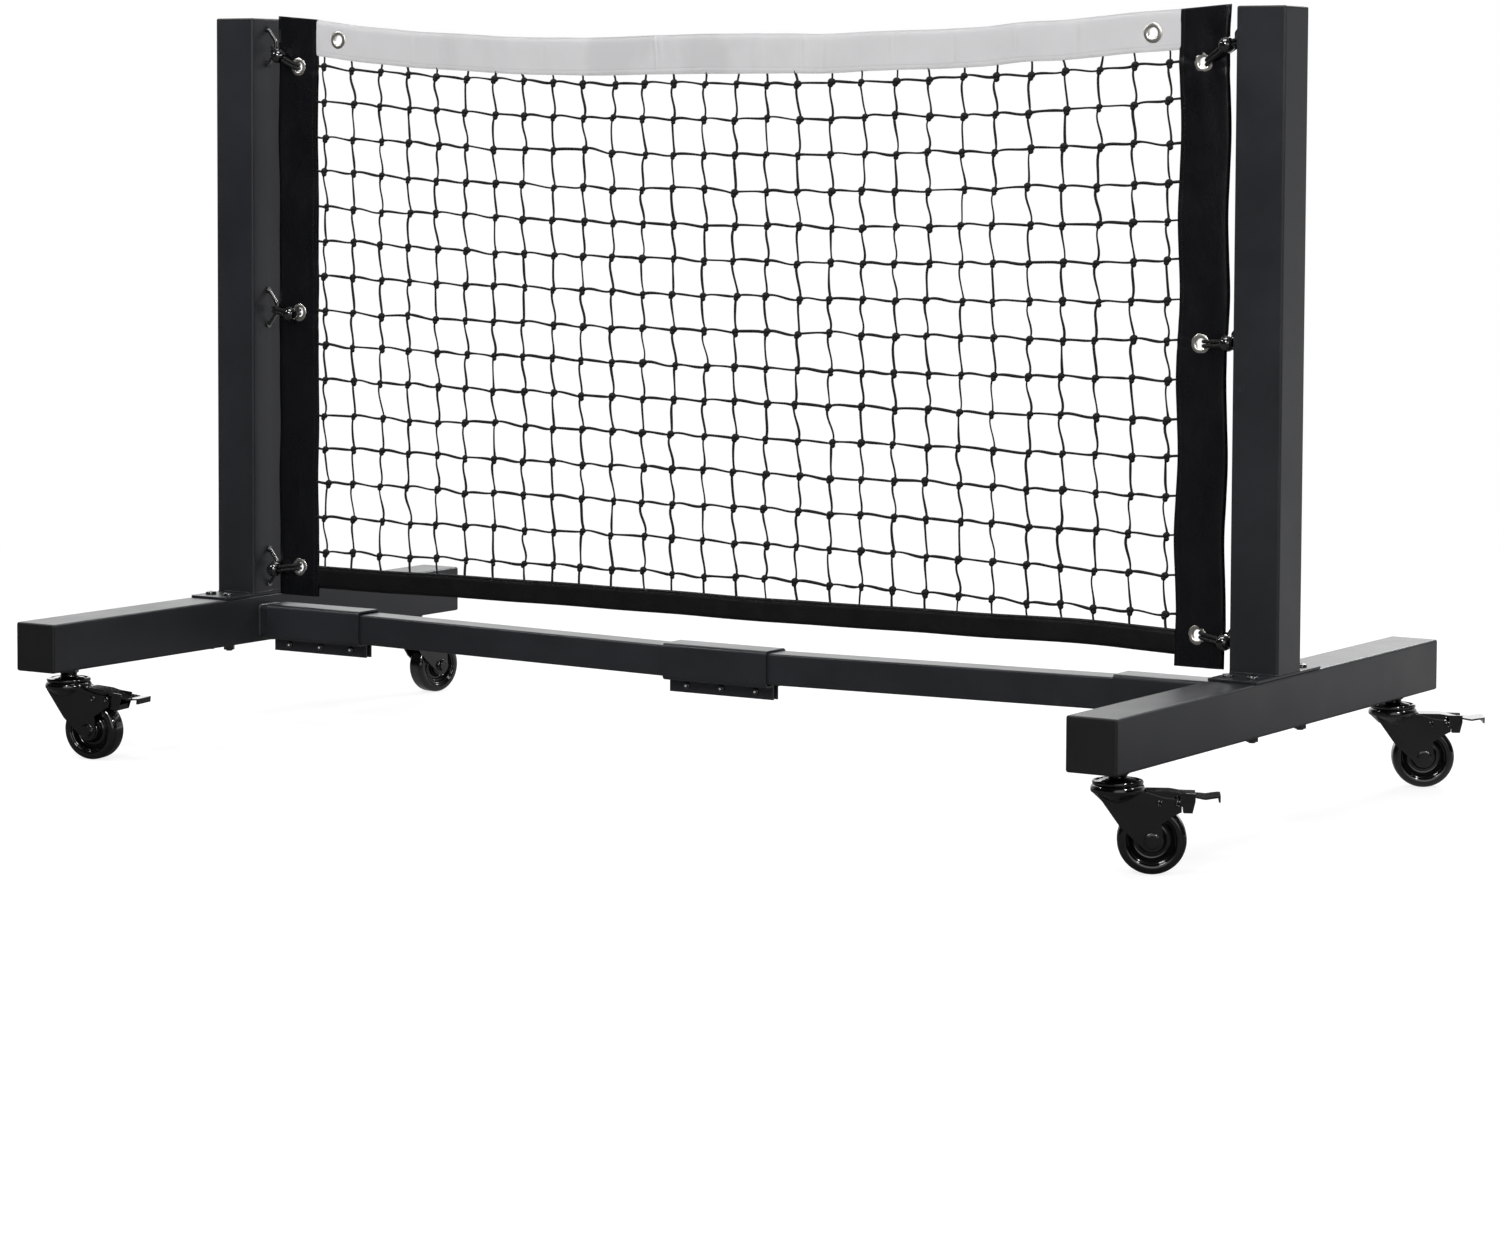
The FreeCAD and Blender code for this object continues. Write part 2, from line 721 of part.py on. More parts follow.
def fork():
    """The swivel crown with a skirt that narrows below it, and a cheek on each side of the wheel."""
    crown = Part.makeCylinder(crown_radius, crown_height, up * crown_bottom)
    rims = [e for e in crown.Edges if len(e.Vertexes) == 1 and e.CenterOfMass.z > crown_top - 1e-6]
    crown = crown.makeFillet(1.5, rims)
    skirt = Part.makeCone(skirt_radius, crown_radius, skirt_height, up * skirt_bottom)
    pan = Part.makeCylinder(crown_radius - fork_sheet, crown_height - fork_sheet, up * crown_bottom)
    inner = Part.makeCone(
        skirt_radius - fork_sheet, crown_radius - fork_sheet, skirt_height, up * skirt_bottom
    )
    cheeks = []
    boss = across(hub_radius - 1.0, cheek_outside, wheel_trail, wheel_radius)
    gap = box((-100, 200), (-cheek_inside, cheek_inside), (0, crown_bottom + crown_height))
    for y_low in (-cheek_outside, cheek_inside):
        cheeks.append(outline_solid(cheek_outline(), y_low, fork_sheet))
    cheeks.append(boss.cut(gap))
    body = crown.fuse([skirt]).cut([pan, inner]).fuse(cheeks).removeSplitter()
    stem_hole = Part.makeCylinder(stem_radius + running_clearance, crown_height, up * crown_bottom)
    cuts = [
        stem_hole,
        across(axle_radius + running_clearance, cheek_outside, wheel_trail, wheel_radius),
        across(pedal_pin_radius + running_clearance, cheek_outside, pivot_x, pin_height),
        across(pedal_pin_radius + running_clearance, cheek_outside, stop_x, pin_height),
    ]
    return body.cut(Part.makeCompound(cuts))


def axle_bolt():
    half = cheek_outside
    bolt = across(axle_radius, half, wheel_trail, wheel_radius)
    place = Vector(wheel_trail, 0, wheel_radius)
    head = hex_nut(axle_head_flats, axle_head_height, axle_radius / 2)
    plug = Part.makeCylinder(axle_radius / 2, axle_head_height)
    head = moved(joined([head, plug]), place - along_y * half, along_x, 90)
    end = Part.makeCylinder(axle_radius, axle_head_height + 2, place + along_y * half, along_y)
    nut = hex_nut(axle_head_flats, axle_head_height, axle_radius + running_clearance)
    nut = moved(nut, place + along_y * half, along_x, -90)
    return [joined([bolt, head, end]), nut]


def pedal_pins():
    pins = []
    for x in (pivot_x, stop_x):
        pin = across(pedal_pin_radius, cheek_outside, x, pin_height)
        heads = []
        for y, side in ((-cheek_outside - 1.5, -1), (cheek_outside, 1)):
            heads.append(Part.makeCylinder(pedal_pin_head, 1.5, Vector(x, y, pin_height), along_y))
        pins.append(joined([pin] + heads))
    return pins


def tyre():
    half = wheel_width / 2
    ring = across(wheel_radius, half, wheel_trail, wheel_radius)
    rims = [e for e in ring.Edges if len(e.Vertexes) == 1]
    ring = ring.makeFillet(tread_rounding, rims)
    return ring.cut(across(wheel_radius - tyre_depth, half, wheel_trail, wheel_radius))


def wheel_core():
    outer = wheel_radius - tyre_depth - running_clearance
    hub_half = cheek_inside - 4 * running_clearance
    rim_half = wheel_width / 2 - 1.0
    rim = across(outer, rim_half, wheel_trail, wheel_radius)
    rim = rim.cut(across(outer - rim_thickness, rim_half, wheel_trail, wheel_radius))
    web = across(outer - rim_thickness / 2, web_thickness / 2, wheel_trail, wheel_radius)
    hub = across(hub_radius, hub_half, wheel_trail, wheel_radius)
    rims = [e for e in hub.Edges if len(e.Vertexes) == 1]
    hub = hub.makeFillet(1.2, rims)
    core = joined([rim, web, hub])
    return core.cut(across(axle_radius + running_clearance, hub_half, wheel_trail, wheel_radius))


def pedal_profile():
    """The pedal's top sheet seen from its side, as the (x, z) points of its upper face."""
    top = pedal_underside + pedal_sheet
    return [
        (crown_radius + 2.0, top),
        (stop_x - 9.0, top),
        (pedal_reach - 26.5, top - 4.2),
        (pedal_reach - 15.5, top - 5.6),
        (pedal_reach - 8.5, top - 4.4),
        (pedal_reach, top - 3.4),
    ]


def brake_pedal():
    """Pressed sheet: a top between two side flanges, a wider tip, and a shoe over the tread."""
    upper = pedal_profile()
    tip_low = upper[-1][1] - 7.0
    lower = [(x, z - pedal_sheet) for x, z in reversed(upper)]
    lower[0] = (pedal_reach - pedal_sheet, lower[0][1])
    lower = [(pedal_reach, tip_low), (pedal_reach - pedal_sheet, tip_low)] + lower
    half = cheek_inside - pedal_side_gap
    tip_half = pedal_tip_width / 2
    sheet = outline_solid(upper + lower, -tip_half, pedal_tip_width)
    plan = [
        Vector(crown_radius + 2.0, -half, 0),
        Vector(pedal_reach - 26.5, -half, 0),
        Vector(pedal_reach - 19.0, -tip_half, 0),
        Vector(pedal_reach - 2.5, -tip_half, 0),
        Vector(pedal_reach, -tip_half + 2.5, 0),
    ]
    plan += [Vector(p.x, -p.y, 0) for p in reversed(plan)]
    trim = Part.Face(Part.makePolygon(plan + plan[:1])).extrude(up * (pedal_underside + 20))
    sheet = sheet.common(trim)
    flange_out = half
    flange_low = pin_height - pedal_pin_radius - 1.3
    web_top = pedal_underside + pedal_sheet / 2
    shoe_x = (stop_x + 5.0, stop_x + 18.0)
    flange = [
        (crown_radius + 6.0, flange_low),
        (shoe_x[0], flange_low),
        (shoe_x[0] + 1.0, pin_height - 10.5),
        (shoe_x[1] - 3.0, pin_height - 10.5),
        (shoe_x[1], pin_height + 2.0),
        (shoe_x[1], web_top - 1.0),
        (crown_radius + 6.0, web_top),
    ]
    pieces = [sheet]
    for y_low in (-flange_out, flange_out - pedal_sheet):
        pieces.append(outline_solid(flange, y_low, pedal_sheet))
    shoe = box(shoe_x, (-flange_out, flange_out), (pin_height - 10.5, pin_height - 4.0))
    shoe = shoe.cut(box((shoe_x[1] - 3.0, shoe_x[1]), (-flange_out, flange_out), (0, pin_height)))
    pieces.append(shoe)
    body = pieces[0].fuse(pieces[1:]).removeSplitter()
    wheel = across(wheel_radius + shoe_gap, cheek_inside, wheel_trail, wheel_radius)
    pivot = Vector(pivot_x, 0, pin_height)
    wheel = moved(moved(wheel, pivot * -1), pivot, along_y, -pedal_travel)
    cuts = [wheel, across(pedal_pin_radius + running_clearance, cheek_inside, pivot_x, pin_height)]
    slot_reach = stop_x - pivot_x
    inner = slot_reach - pedal_pin_radius - shoe_gap
    outer = slot_reach + pedal_pin_radius + shoe_gap
    slot = Part.makeCylinder(outer, 2 * cheek_inside, Vector(0, -cheek_inside, 0), along_y, pedal_travel)
    slot = slot.cut(Part.makeCylinder(inner, 2 * cheek_inside, Vector(0, -cheek_inside, 0), along_y))
    centre = slot.Solids[0].CenterOfMass
    heading = math.degrees(math.atan2(centre.z, centre.x))
    slot = moved(slot.Solids[0], Vector(), along_y, heading - pedal_travel / 2)
    cuts.append(moved(slot, pivot))
    for turn in (0.0, pedal_travel):
        end = across(pedal_pin_radius + shoe_gap, cheek_inside, slot_reach, 0.0)
        end = moved(end, Vector(), along_y, -turn)
        cuts.append(moved(end, pivot))
    return body.cut(cuts)


def build():
    os.makedirs("parts", exist_ok=True)
    save("left_foot_tube", [foot_tube(-post_x)])
    save("right_foot_tube", [foot_tube(post_x)])
    save("foot_end_caps", foot_end_caps())
    save("left_post", [post(-post_x)])
    save("right_post", [post(post_x)])
    save("post_caps", [post_cap(-post_x), post_cap(post_x)])
    save("left_base_plate", [base_plate(-post_x)])
    save("right_base_plate", [base_plate(post_x)])
    bolts, nuts = base_fasteners()
    save("base_plate_bolts", bolts)
    save("base_plate_nuts", nuts)

    save("right_stub_tube", [stub_tube()])
    save("left_stub_tube", [mirrored(stub_tube())])
    save("right_cross_tube", [cross_tube()])
    save("left_cross_tube", [mirrored(cross_tube())])
    clamp = pinch_clamp()
    for name, centre in clamp_centres().items():
        save(name + "_clamp", [moved(clamp, centre)])
    screws, nuts = clamp_fasteners()
    save("clamp_screws", screws)
    save("clamp_nuts", nuts)

    save("net_mesh", [net_mesh()])
    save("net_top_band", [top_band()])
    save("net_bottom_band", [band_plate(bottom_edge, mesh_low)])
    save("net_right_side_band", [side_band()])
    save("net_left_side_band", [mirrored(side_band())])
    save("top_band_grommets", [grommet(x, z) for x, z in top_grommet_places()])

    grommets, cords, balls = [], [], []
    for name, z in tie_heights.items():
        grommets.append(grommet(band_outer_x - side_grommet_inset, z))
        for side, slides in ball_slides.items():
            pair, ball = bungee(name, slides[name])
            if side == "left":
                pair, ball = [mirrored(cord) for cord in pair], mirrored(ball)
            cords += pair
            balls.append(ball)
    save("side_band_grommets", grommets + [mirrored(g) for g in grommets])
    save("bungee_cords", cords)
    save("bungee_balls", balls)
    hooks = []
    for name, z in tie_heights.items():
        hooks += hook_loop(z + hook_rises[name])
    save("right_hook_loops", hooks)
    save("left_hook_loops", [mirrored(h) for h in hooks])

    pieces = {
        "stem": caster_stem(),
        "fork": [fork()],
        "axle": axle_bolt(),
        "tyre": [tyre()],
        "wheel_core": [wheel_core()],
        "brake_pedal": [brake_pedal()],
        "pedal_pins": pedal_pins(),
    }
    pivot = Vector(pivot_x, 0, pin_height)
    for name, trail in caster_trails.items():
        pedal = moved(pieces["brake_pedal"][0], pivot * -1)
        pedal = moved(pedal, pivot, along_y, pedal_rests[name])
        for piece, solids in {**pieces, "brake_pedal": [pedal]}.items():
            placed = [moved(solid, caster_place(name), up, trail) for solid in solids]
            save(name + "_caster_" + piece, placed)


build()
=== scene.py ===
import math
import random

import bmesh
import bpy
from mathutils import Matrix, Vector, noise


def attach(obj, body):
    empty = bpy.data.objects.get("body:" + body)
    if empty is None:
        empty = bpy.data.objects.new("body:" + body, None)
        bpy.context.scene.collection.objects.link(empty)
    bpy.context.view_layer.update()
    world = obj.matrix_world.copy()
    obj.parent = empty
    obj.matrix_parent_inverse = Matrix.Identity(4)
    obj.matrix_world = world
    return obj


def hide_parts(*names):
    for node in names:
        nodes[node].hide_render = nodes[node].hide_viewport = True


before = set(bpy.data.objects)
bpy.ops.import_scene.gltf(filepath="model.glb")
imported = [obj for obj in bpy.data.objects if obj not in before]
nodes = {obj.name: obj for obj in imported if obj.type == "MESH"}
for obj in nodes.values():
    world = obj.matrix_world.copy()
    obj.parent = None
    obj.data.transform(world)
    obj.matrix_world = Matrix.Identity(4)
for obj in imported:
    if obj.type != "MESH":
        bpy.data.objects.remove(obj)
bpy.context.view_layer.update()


# Feet
# Two lengths of 60 mm square steel tube lie across the net line and carry the whole stand.
# They are cut square, drilled for the casters and base plates, and powder coated satin black.

def feed(tree, node, inputs):
    """Gives a node its inputs: values, sockets, or other nodes by their first output."""
    for key, value in inputs.items():
        if isinstance(value, bpy.types.Node):
            value = value.outputs[0]
        if isinstance(value, bpy.types.NodeSocket):
            tree.links.new(value, node.inputs[key])
        else:
            node.inputs[key].default_value = value
    return node


def put(tree, kind, inputs=None, **settings):
    """Adds a shader node with its settings and its inputs."""
    node = tree.nodes.new("ShaderNode" + kind)
    for key, value in settings.items():
        setattr(node, key, value)
    return feed(tree, node, inputs or {})


def worked(tree, operation, *values):
    """A number worked out from others."""
    return put(tree, "Math", dict(enumerate(values)), operation=operation)


def cloud(tree, where, scale, detail, roughness=0.5):
    """Soft noise, at about so many lumps per metre."""
    return put(tree, "TexNoise", {"Vector": where, "Scale": scale, "Detail": detail,
                                  "Roughness": roughness})


def spread(tree, value, start, end, low=0.0, high=1.0, **settings):
    """Runs from low to high as a value goes from start to end."""
    return put(tree, "MapRange", {"Value": value, "From Min": start, "From Max": end,
                                  "To Min": low, "To Max": high}, **settings)


def blended(tree, share, first, second):
    """A colour between two, each of them three numbers or a socket."""
    ends = [(*end, 1) if isinstance(end, tuple) else end for end in (first, second)]
    return put(tree, "Mix", {0: share, 6: ends[0], 7: ends[1]}, data_type="RGBA").outputs[2]


def relief(tree, height, strength, distance, **under):
    """A bumped normal."""
    return put(tree, "Bump", {"Height": height, "Strength": strength, "Distance": distance,
                              **under})


def effect(name, sizes, results):
    """An empty shader node group: its tree, its inputs' sockets and its output node."""
    tree = bpy.data.node_groups.new(name, "ShaderNodeTree")
    tree.interface.new_socket("Vector", in_out="INPUT", socket_type="NodeSocketVector")
    for label, value in sizes.items():
        size = tree.interface.new_socket(label, in_out="INPUT", socket_type="NodeSocketFloat")
        size.default_value = value
    for label in results:
        tree.interface.new_socket(label, in_out="OUTPUT", socket_type="NodeSocketFloat")
    return tree, tree.nodes.new("NodeGroupInput").outputs, tree.nodes.new("NodeGroupOutput")


def coat_grain_effect():
    """Orange peel and fine grain, as powder coat or moulded plastic cures with."""
    tree, given, made = effect("Coat grain", {"Peel size": 300.0, "Grain size": 1500.0,
                                              "Grain share": 0.35}, ("Height", "Patch"))
    peel = cloud(tree, given["Vector"], given["Peel size"], 2.0)
    grain = cloud(tree, given["Vector"], given["Grain size"], 3.0, 0.65)
    height = put(tree, "Mix", {0: given["Grain share"], 2: peel, 3: grain})
    patch = cloud(tree, given["Vector"], 9.0, 4.0, 0.6)
    feed(tree, made, {"Height": height, "Patch": patch})
    return tree


def handling_effect():
    """Thin sparse scuffs, longer one way than the other."""
    tree, given, made = effect("Handling marks", {"Scuff size": 40.0, "Cover": 0.5}, ("Scuff",))
    drawn = put(tree, "Mapping", {"Vector": given["Vector"], "Rotation": (0.3, 0.5, 0.2),
                                  "Scale": (1.0, 3.5, 0.35)})
    thin = spread(tree, cloud(tree, drawn, given["Scuff size"], 6.0, 0.7), 0.62, 0.74)
    spots = spread(tree, cloud(tree, given["Vector"], 5.0, 2.0), 0.48, 0.66)
    scuff = worked(tree, "MULTIPLY", thin, spots)
    feed(tree, made, {"Scuff": worked(tree, "MULTIPLY", scuff, given["Cover"])})
    return tree


coat_grain = coat_grain_effect()
handling = handling_effect()


def surface(name, constants):
    """A material, its tree, its shader with plain values set, and its object coordinates."""
    material = bpy.data.materials.new(name)
    material.use_nodes = True
    tree = material.node_tree
    shader = feed(tree, tree.nodes["Principled BSDF"], constants)
    return material, tree, shader, put(tree, "TexCoord").outputs["Object"]


def hard_finish(name, dark, light, rough, peel, grain, share, bump, cover, **constants):
    """A coated or moulded finish: two near colours in patches, grain in it, and scuffs."""
    material, tree, shader, where = surface(name, constants)
    grained = put(tree, "Group", {"Vector": where, "Peel size": peel, "Grain size": grain,
                                  "Grain share": share}, node_tree=coat_grain)
    scuff = put(tree, "Group", {"Vector": where, "Cover": cover}, node_tree=handling)
    patch = grained.outputs["Patch"]
    colour = blended(tree, spread(tree, patch, 0.35, 0.65), dark, light)
    worn = tuple(min(1.0, c * 2.2 + 0.02) for c in light)
    gloss = spread(tree, patch, 0.3, 0.7, rough - 0.04, rough + 0.05)
    feed(tree, shader, {"Base Color": blended(tree, scuff, colour, worn),
                        "Roughness": worked(tree, "MULTIPLY_ADD", scuff, 0.18, gloss),
                        "Normal": relief(tree, grained.outputs["Height"], 1.0, bump)})
    return material


powder_coat = hard_finish("Satin powder coat", (0.0155, 0.0162, 0.0198), (0.0198, 0.0206, 0.0252),
                          rough=0.38, peel=260.0, grain=1400.0, share=0.4, bump=0.00006,
                          cover=0.5)


def dress(material, *names):
    """Gives CAD nodes a material in all their slots."""
    for name in names:
        for place in nodes[name].material_slots:
            place.material = material


dress(powder_coat, "left_foot_tube", "right_foot_tube")


# Tube caps
# Moulded black plastic caps close the four foot ends and both post tops.
# Each is pushed in until its plate sits flush on the sawn tube.

def skin(body, name, crease=None):
    """The mesh of a bmesh, smooth, but sharp at edges that turn by more than the crease."""
    mesh = bpy.data.meshes.new(name)
    body.to_mesh(mesh)
    body.free()
    mesh.shade_smooth()
    if crease:
        mesh.set_sharp_from_angle(angle=math.radians(crease))
    return mesh


def added(name, data):
    """A new object in the scene."""
    made = bpy.data.objects.new(name, data)
    bpy.context.scene.collection.objects.link(made)
    return made


def piece(name, shape, material, slot, body, *replaced):
    """Adds a mesh or curve as a piece that rides on a body and stands for CAD nodes."""
    made = added(name, shape)
    shape.materials.clear()
    shape.materials.append(material)
    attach(made, body)
    if replaced:
        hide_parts(*replaced)
    return made


def softened(node, material, slot, body, width, segments=2, chosen=None):
    """A copy of a CAD node, welded into one skin, whose sharp or chosen edges are rounded."""
    copy = bmesh.new()
    copy.from_mesh(nodes[node].data)
    bmesh.ops.remove_doubles(copy, verts=copy.verts[:], dist=1e-6)
    bmesh.ops.dissolve_limit(copy, angle_limit=math.radians(0.6), verts=copy.verts[:],
                             edges=copy.edges[:])
    if chosen:
        weight = copy.edges.layers.float.new("bevel_weight_edge")
        for edge in copy.edges:
            edge[weight] = float(all(chosen(vertex.co) for vertex in edge.verts))
    mesh = skin(copy, node + "_softened", 28)
    made = piece(node + "_finished", mesh, material, slot, body, node)
    rounding = made.modifiers.new("rounded edges", "BEVEL")
    rounding.width = width
    rounding.segments = segments
    rounding.limit_method = "WEIGHT" if chosen else "ANGLE"
    rounding.angle_limit = math.radians(32)
    rounding.harden_normals = True
    return made


foot_cap_face, post_cap_face = 0.4129, 0.9139
cap_rounding = 0.0024
cap_plastic = hard_finish("Moulded cap plastic", (0.0075, 0.0075, 0.008), (0.010, 0.010, 0.0105),
                          rough=0.46, peel=500.0, grain=2200.0, share=0.7, bump=0.00008,
                          cover=0.7)
softened("foot_end_caps", cap_plastic, "cap_plastic", "stand", cap_rounding, 4,
         lambda place: abs(place.y) > foot_cap_face)
softened("post_caps", cap_plastic, "cap_plastic", "stand", cap_rounding, 4,
         lambda place: place.z > post_cap_face)


# Caster stems
# Each caster hangs on a 12 mm threaded stem that a nut clamps to the foot's lower wall. A
# pressed cup, turned down at its rim, is riveted to the stem and covers the ball race.

def turned(profile, centre, axis, steps=48, closed=True, crease=40):
    """(radius, height) points turned about an axis. An open profile ends on the axis."""
    body = bmesh.new()
    line = [body.verts.new((radius, 0, height)) for radius, height in profile]
    edges = [body.edges.new(pair) for pair in zip(line, line[1:])]
    if closed:
        edges.append(body.edges.new((line[-1], line[0])))
    bmesh.ops.spin(body, geom=line + edges, cent=(0, 0, 0), axis=(0, 0, 1), angle=2 * math.pi,
                   steps=steps, use_merge=True)
    bmesh.ops.remove_doubles(body, verts=body.verts[:], dist=1e-6)
    bmesh.ops.recalc_face_normals(body, faces=body.faces[:])
    place = Vector(axis).to_track_quat("Z", "Y").to_matrix().to_4x4()
    bmesh.ops.transform(body, matrix=Matrix.Translation(centre) @ place, verts=body.verts[:])
    return skin(body, "turned", crease)


def gathered(name, meshes):
    """Several meshes put together as one."""
    body = bmesh.new()
    for mesh in meshes:
        body.from_mesh(mesh)
        bpy.data.meshes.remove(mesh)
    whole = bpy.data.meshes.new(name)
    body.to_mesh(whole)
    body.free()
    return whole


nut_flats, nut_bore = 0.022, 0.00605


def hexagon_nut(low, high, centre, turn):
    """A hexagon nut with chamfered corners, its bore bridged through, standing on Z."""
    body = bmesh.new()
    rings = []
    half = nut_flats * 0.5
    face, drop = half * 1.02, nut_flats * 0.05
    for reach, height in ((0.0, low), (face, low), (math.inf, low + drop),
                          (math.inf, high - drop), (face, high), (0.0, high)):
        made = bmesh.ops.create_circle(body, segments=48, radius=1.0)["verts"]
        for vertex in made:
            angle = math.atan2(vertex.co.y, vertex.co.x)
            side = half / math.cos((angle + math.pi / 6) % (math.pi / 3) - math.pi / 6)
            radius = min(side, reach) if reach else nut_bore
            vertex.co = (radius * math.cos(angle + turn), radius * math.sin(angle + turn), height)
        rings.append(list({edge for vertex in made for edge in vertex.link_edges}))
    for here, ahead in zip(rings, rings[1:] + rings[:1]):
        bmesh.ops.bridge_loops(body, edges=here + ahead)
    bmesh.ops.recalc_face_normals(body, faces=body.faces[:])
    bmesh.ops.translate(body, vec=centre, verts=body.verts[:])
    return skin(body, "nut", 18)


wet_black = {"Specular IOR Level": 0.2, "Coat Weight": 1.0, "Coat Roughness": 0.05,
             "Coat IOR": 1.8}
caster_steel = hard_finish("Gloss black dipped steel", (0.0022, 0.0022, 0.0026),
                           (0.0040, 0.0040, 0.0044), rough=0.24, peel=420.0, grain=1800.0,
                           share=0.15, bump=0.00004, cover=0.6, **wet_black)
post_x, caster_y = 0.725, 0.352
casters = {
    "front_left": (-post_x, -caster_y, 10.0),
    "front_right": (post_x, -caster_y, 28.0),
    "rear_left": (-post_x, caster_y, 80.0),
    "rear_right": (post_x, caster_y, 30.0),
}
stem_profile = [
    (0.0, 0.0882), (0.0086, 0.0882), (0.0090, 0.0886), (0.0090, 0.0907), (0.0086, 0.0911),
    (0.0060, 0.0911), (0.0060, 0.0939), (0.0250, 0.0940), (0.0264, 0.0945), (0.0270, 0.0957),
    (0.0270, 0.0968), (0.0264, 0.0980), (0.0252, 0.0985), (0.0240, 0.0983), (0.0233, 0.0975),
    (0.0222, 0.0968), (0.0208, 0.0971), (0.0196, 0.0982), (0.0186, 0.0987), (0.0160, 0.0992),
    (0.0118, 0.1000), (0.0106, 0.1006), (0.0102, 0.1016), (0.0102, 0.1036), (0.0098, 0.1042),
    (0.0060, 0.1044), (0.0060, 0.1362), (0.0054, 0.1369), (0.0, 0.1369),
]
for caster, (x, y, trail) in casters.items():
    stem = turned(stem_profile, (x, y, 0), (0, 0, 1), closed=False)
    outer_nut = hexagon_nut(0.1045, 0.1110, (x, y, 0), math.radians(trail + 12))
    inner_nut = hexagon_nut(0.1135, 0.1200, (x, y, 0), math.radians(trail))
    piece(caster + "_stem", gathered(caster + "_stem", [stem, outer_nut, inner_nut]),
          caster_steel, "zinc_steel", "stand", caster + "_caster_stem")


# Caster forks, axles and brake pedals
# Each fork is pressed from 2.5 mm sheet with a round crown and two cheeks. An axle bolt, a
# hollow pivot rivet and a stop rivet cross it, and the brake pedal is a folded 2 mm lever. All
# are dipped in gloss black.

def across_caster(caster, ahead, height):
    """A point ahead of a caster's stem at a height, and the way across its wheel."""
    x, y, trail = casters[caster]
    angle = math.radians(trail)
    return (Vector((x + ahead * math.cos(angle), y + ahead * math.sin(angle), height)),
            Vector((-math.sin(angle), math.cos(angle), 0)))


def arc(centre, reach, degrees):
    """Points on an ellipse about a centre, at each of the degrees."""
    return [(centre[0] + reach[0] * math.cos(math.radians(t)),
             centre[1] + reach[1] * math.sin(math.radians(t))) for t in degrees]


def mirrored(half):
    """The points of half a profile in reverse, turned over in height."""
    return [(radius, -height) for radius, height in reversed(half)]


axle_ahead, axle_height = 0.036, 0.0365
pivot_ahead, stop_ahead, pin_height = 0.044, 0.063, 0.0765
crown_rim = [(0.0269, 0.0856), (0.0277, 0.0857)]
crown_rim += arc((0.0196, 0.0884), (0.0090, 0.0090), range(-15, 31, 5))
crown_rim += [(0.0269, 0.0934), (0.0262, 0.0938), (0.0250, 0.0939), (0.0246, 0.0937),
              (0.0246, 0.0932)]
washer = [(0.0042, 0.0172), (0.0042, 0.0181), (0.0075, 0.0182), (0.0082, 0.0180),
          (0.0086, 0.0175), (0.0086, 0.0172)]
half_rivet = [(0.0, 0.0164), (0.0012, 0.0165), (0.0015, 0.0169), (0.0018, 0.0178),
              (0.0025, 0.0184), (0.0031, 0.0182), (0.0035, 0.0176), (0.0036, 0.0170),
              (0.0025, 0.0170)]
rivet = half_rivet + mirrored(half_rivet)
fork_steel = (caster_steel, "caster_black_steel")
for caster in casters:
    swivel = caster + "_swivel"
    softened(caster + "_caster_fork", *fork_steel, swivel, 0.0007, 3)
    softened(caster + "_caster_axle", *fork_steel, swivel, 0.0006, 3)
    softened(caster + "_caster_brake_pedal", *fork_steel, caster + "_pedal", 0.0009, 3)
    rim = turned(crown_rim, (*casters[caster][:2], 0), (0, 0, 1), steps=64)
    piece(caster + "_crown_rim", rim, *fork_steel, swivel)
    washers = [turned([(radius, side * height) for radius, height in washer],
                      *across_caster(caster, axle_ahead, axle_height), steps=32)
               for side in (-1, 1)]
    piece(caster + "_axle_washers", gathered(caster + "_axle_washers", washers), *fork_steel,
          swivel)
    rivets = [turned(rivet, *across_caster(caster, ahead, pin_height), steps=24, closed=False)
              for ahead in (pivot_ahead, stop_ahead)]
    piece(caster + "_rivets", gathered(caster + "_rivets", rivets), *fork_steel, swivel,
          caster + "_caster_pedal_pins")


# Caster wheels
# A black polyurethane tread is cast round a moulded core with a dished web and a fat hub.
# The wheel is 73 mm across and 25 mm wide, as a 3 inch caster has.

tread = hard_finish("Polyurethane tread", (0.0024, 0.0024, 0.0028), (0.0042, 0.0042, 0.0046),
                    rough=0.24, peel=180.0, grain=900.0, share=0.3, bump=0.00003, cover=0.9,
                    **{**wet_black, "Coat Roughness": 0.06})
core_plastic = hard_finish("Moulded wheel core", (0.0022, 0.0022, 0.0026),
                           (0.0040, 0.0040, 0.0044), rough=0.22, peel=500.0, grain=1500.0,
                           share=0.3, bump=0.00003, cover=0.5, **wet_black)
half_tread = [(0.0261, 0.0), (0.0261, 0.0108), (0.0264, 0.0116), (0.0272, 0.0121),
              (0.0286, 0.0124)]
half_tread += arc((0.0305, 0.0062), (0.0060, 0.0063), range(90, -1, -10)) + [(0.0365, 0.0)]
half_core = [(0.00405, 0.0), (0.00405, 0.0139), (0.0046, 0.0142), (0.0112, 0.0142),
             (0.0122, 0.0139), (0.0128, 0.0131), (0.0131, 0.0118), (0.0134, 0.0075),
             (0.0143, 0.0050), (0.0160, 0.0039), (0.0184, 0.0036), (0.0206, 0.0042),
             (0.0222, 0.0058), (0.0231, 0.0080), (0.0236, 0.0100), (0.0243, 0.0111),
             (0.0252, 0.0114), (0.0258, 0.0109), (0.02605, 0.0100), (0.02605, 0.0)]
for caster in casters:
    for name, half, finish, slot, node in (
            ("tread", half_tread, tread, "tread", "_caster_tyre"),
            ("core", half_core, core_plastic, "core_plastic", "_caster_wheel_core")):
        wheel = turned(half + mirrored(half[1:-1]),
                       *across_caster(caster, axle_ahead, axle_height), steps=72)
        piece(caster + "_wheel_" + name, wheel, finish, slot, caster + "_wheel", caster + node)


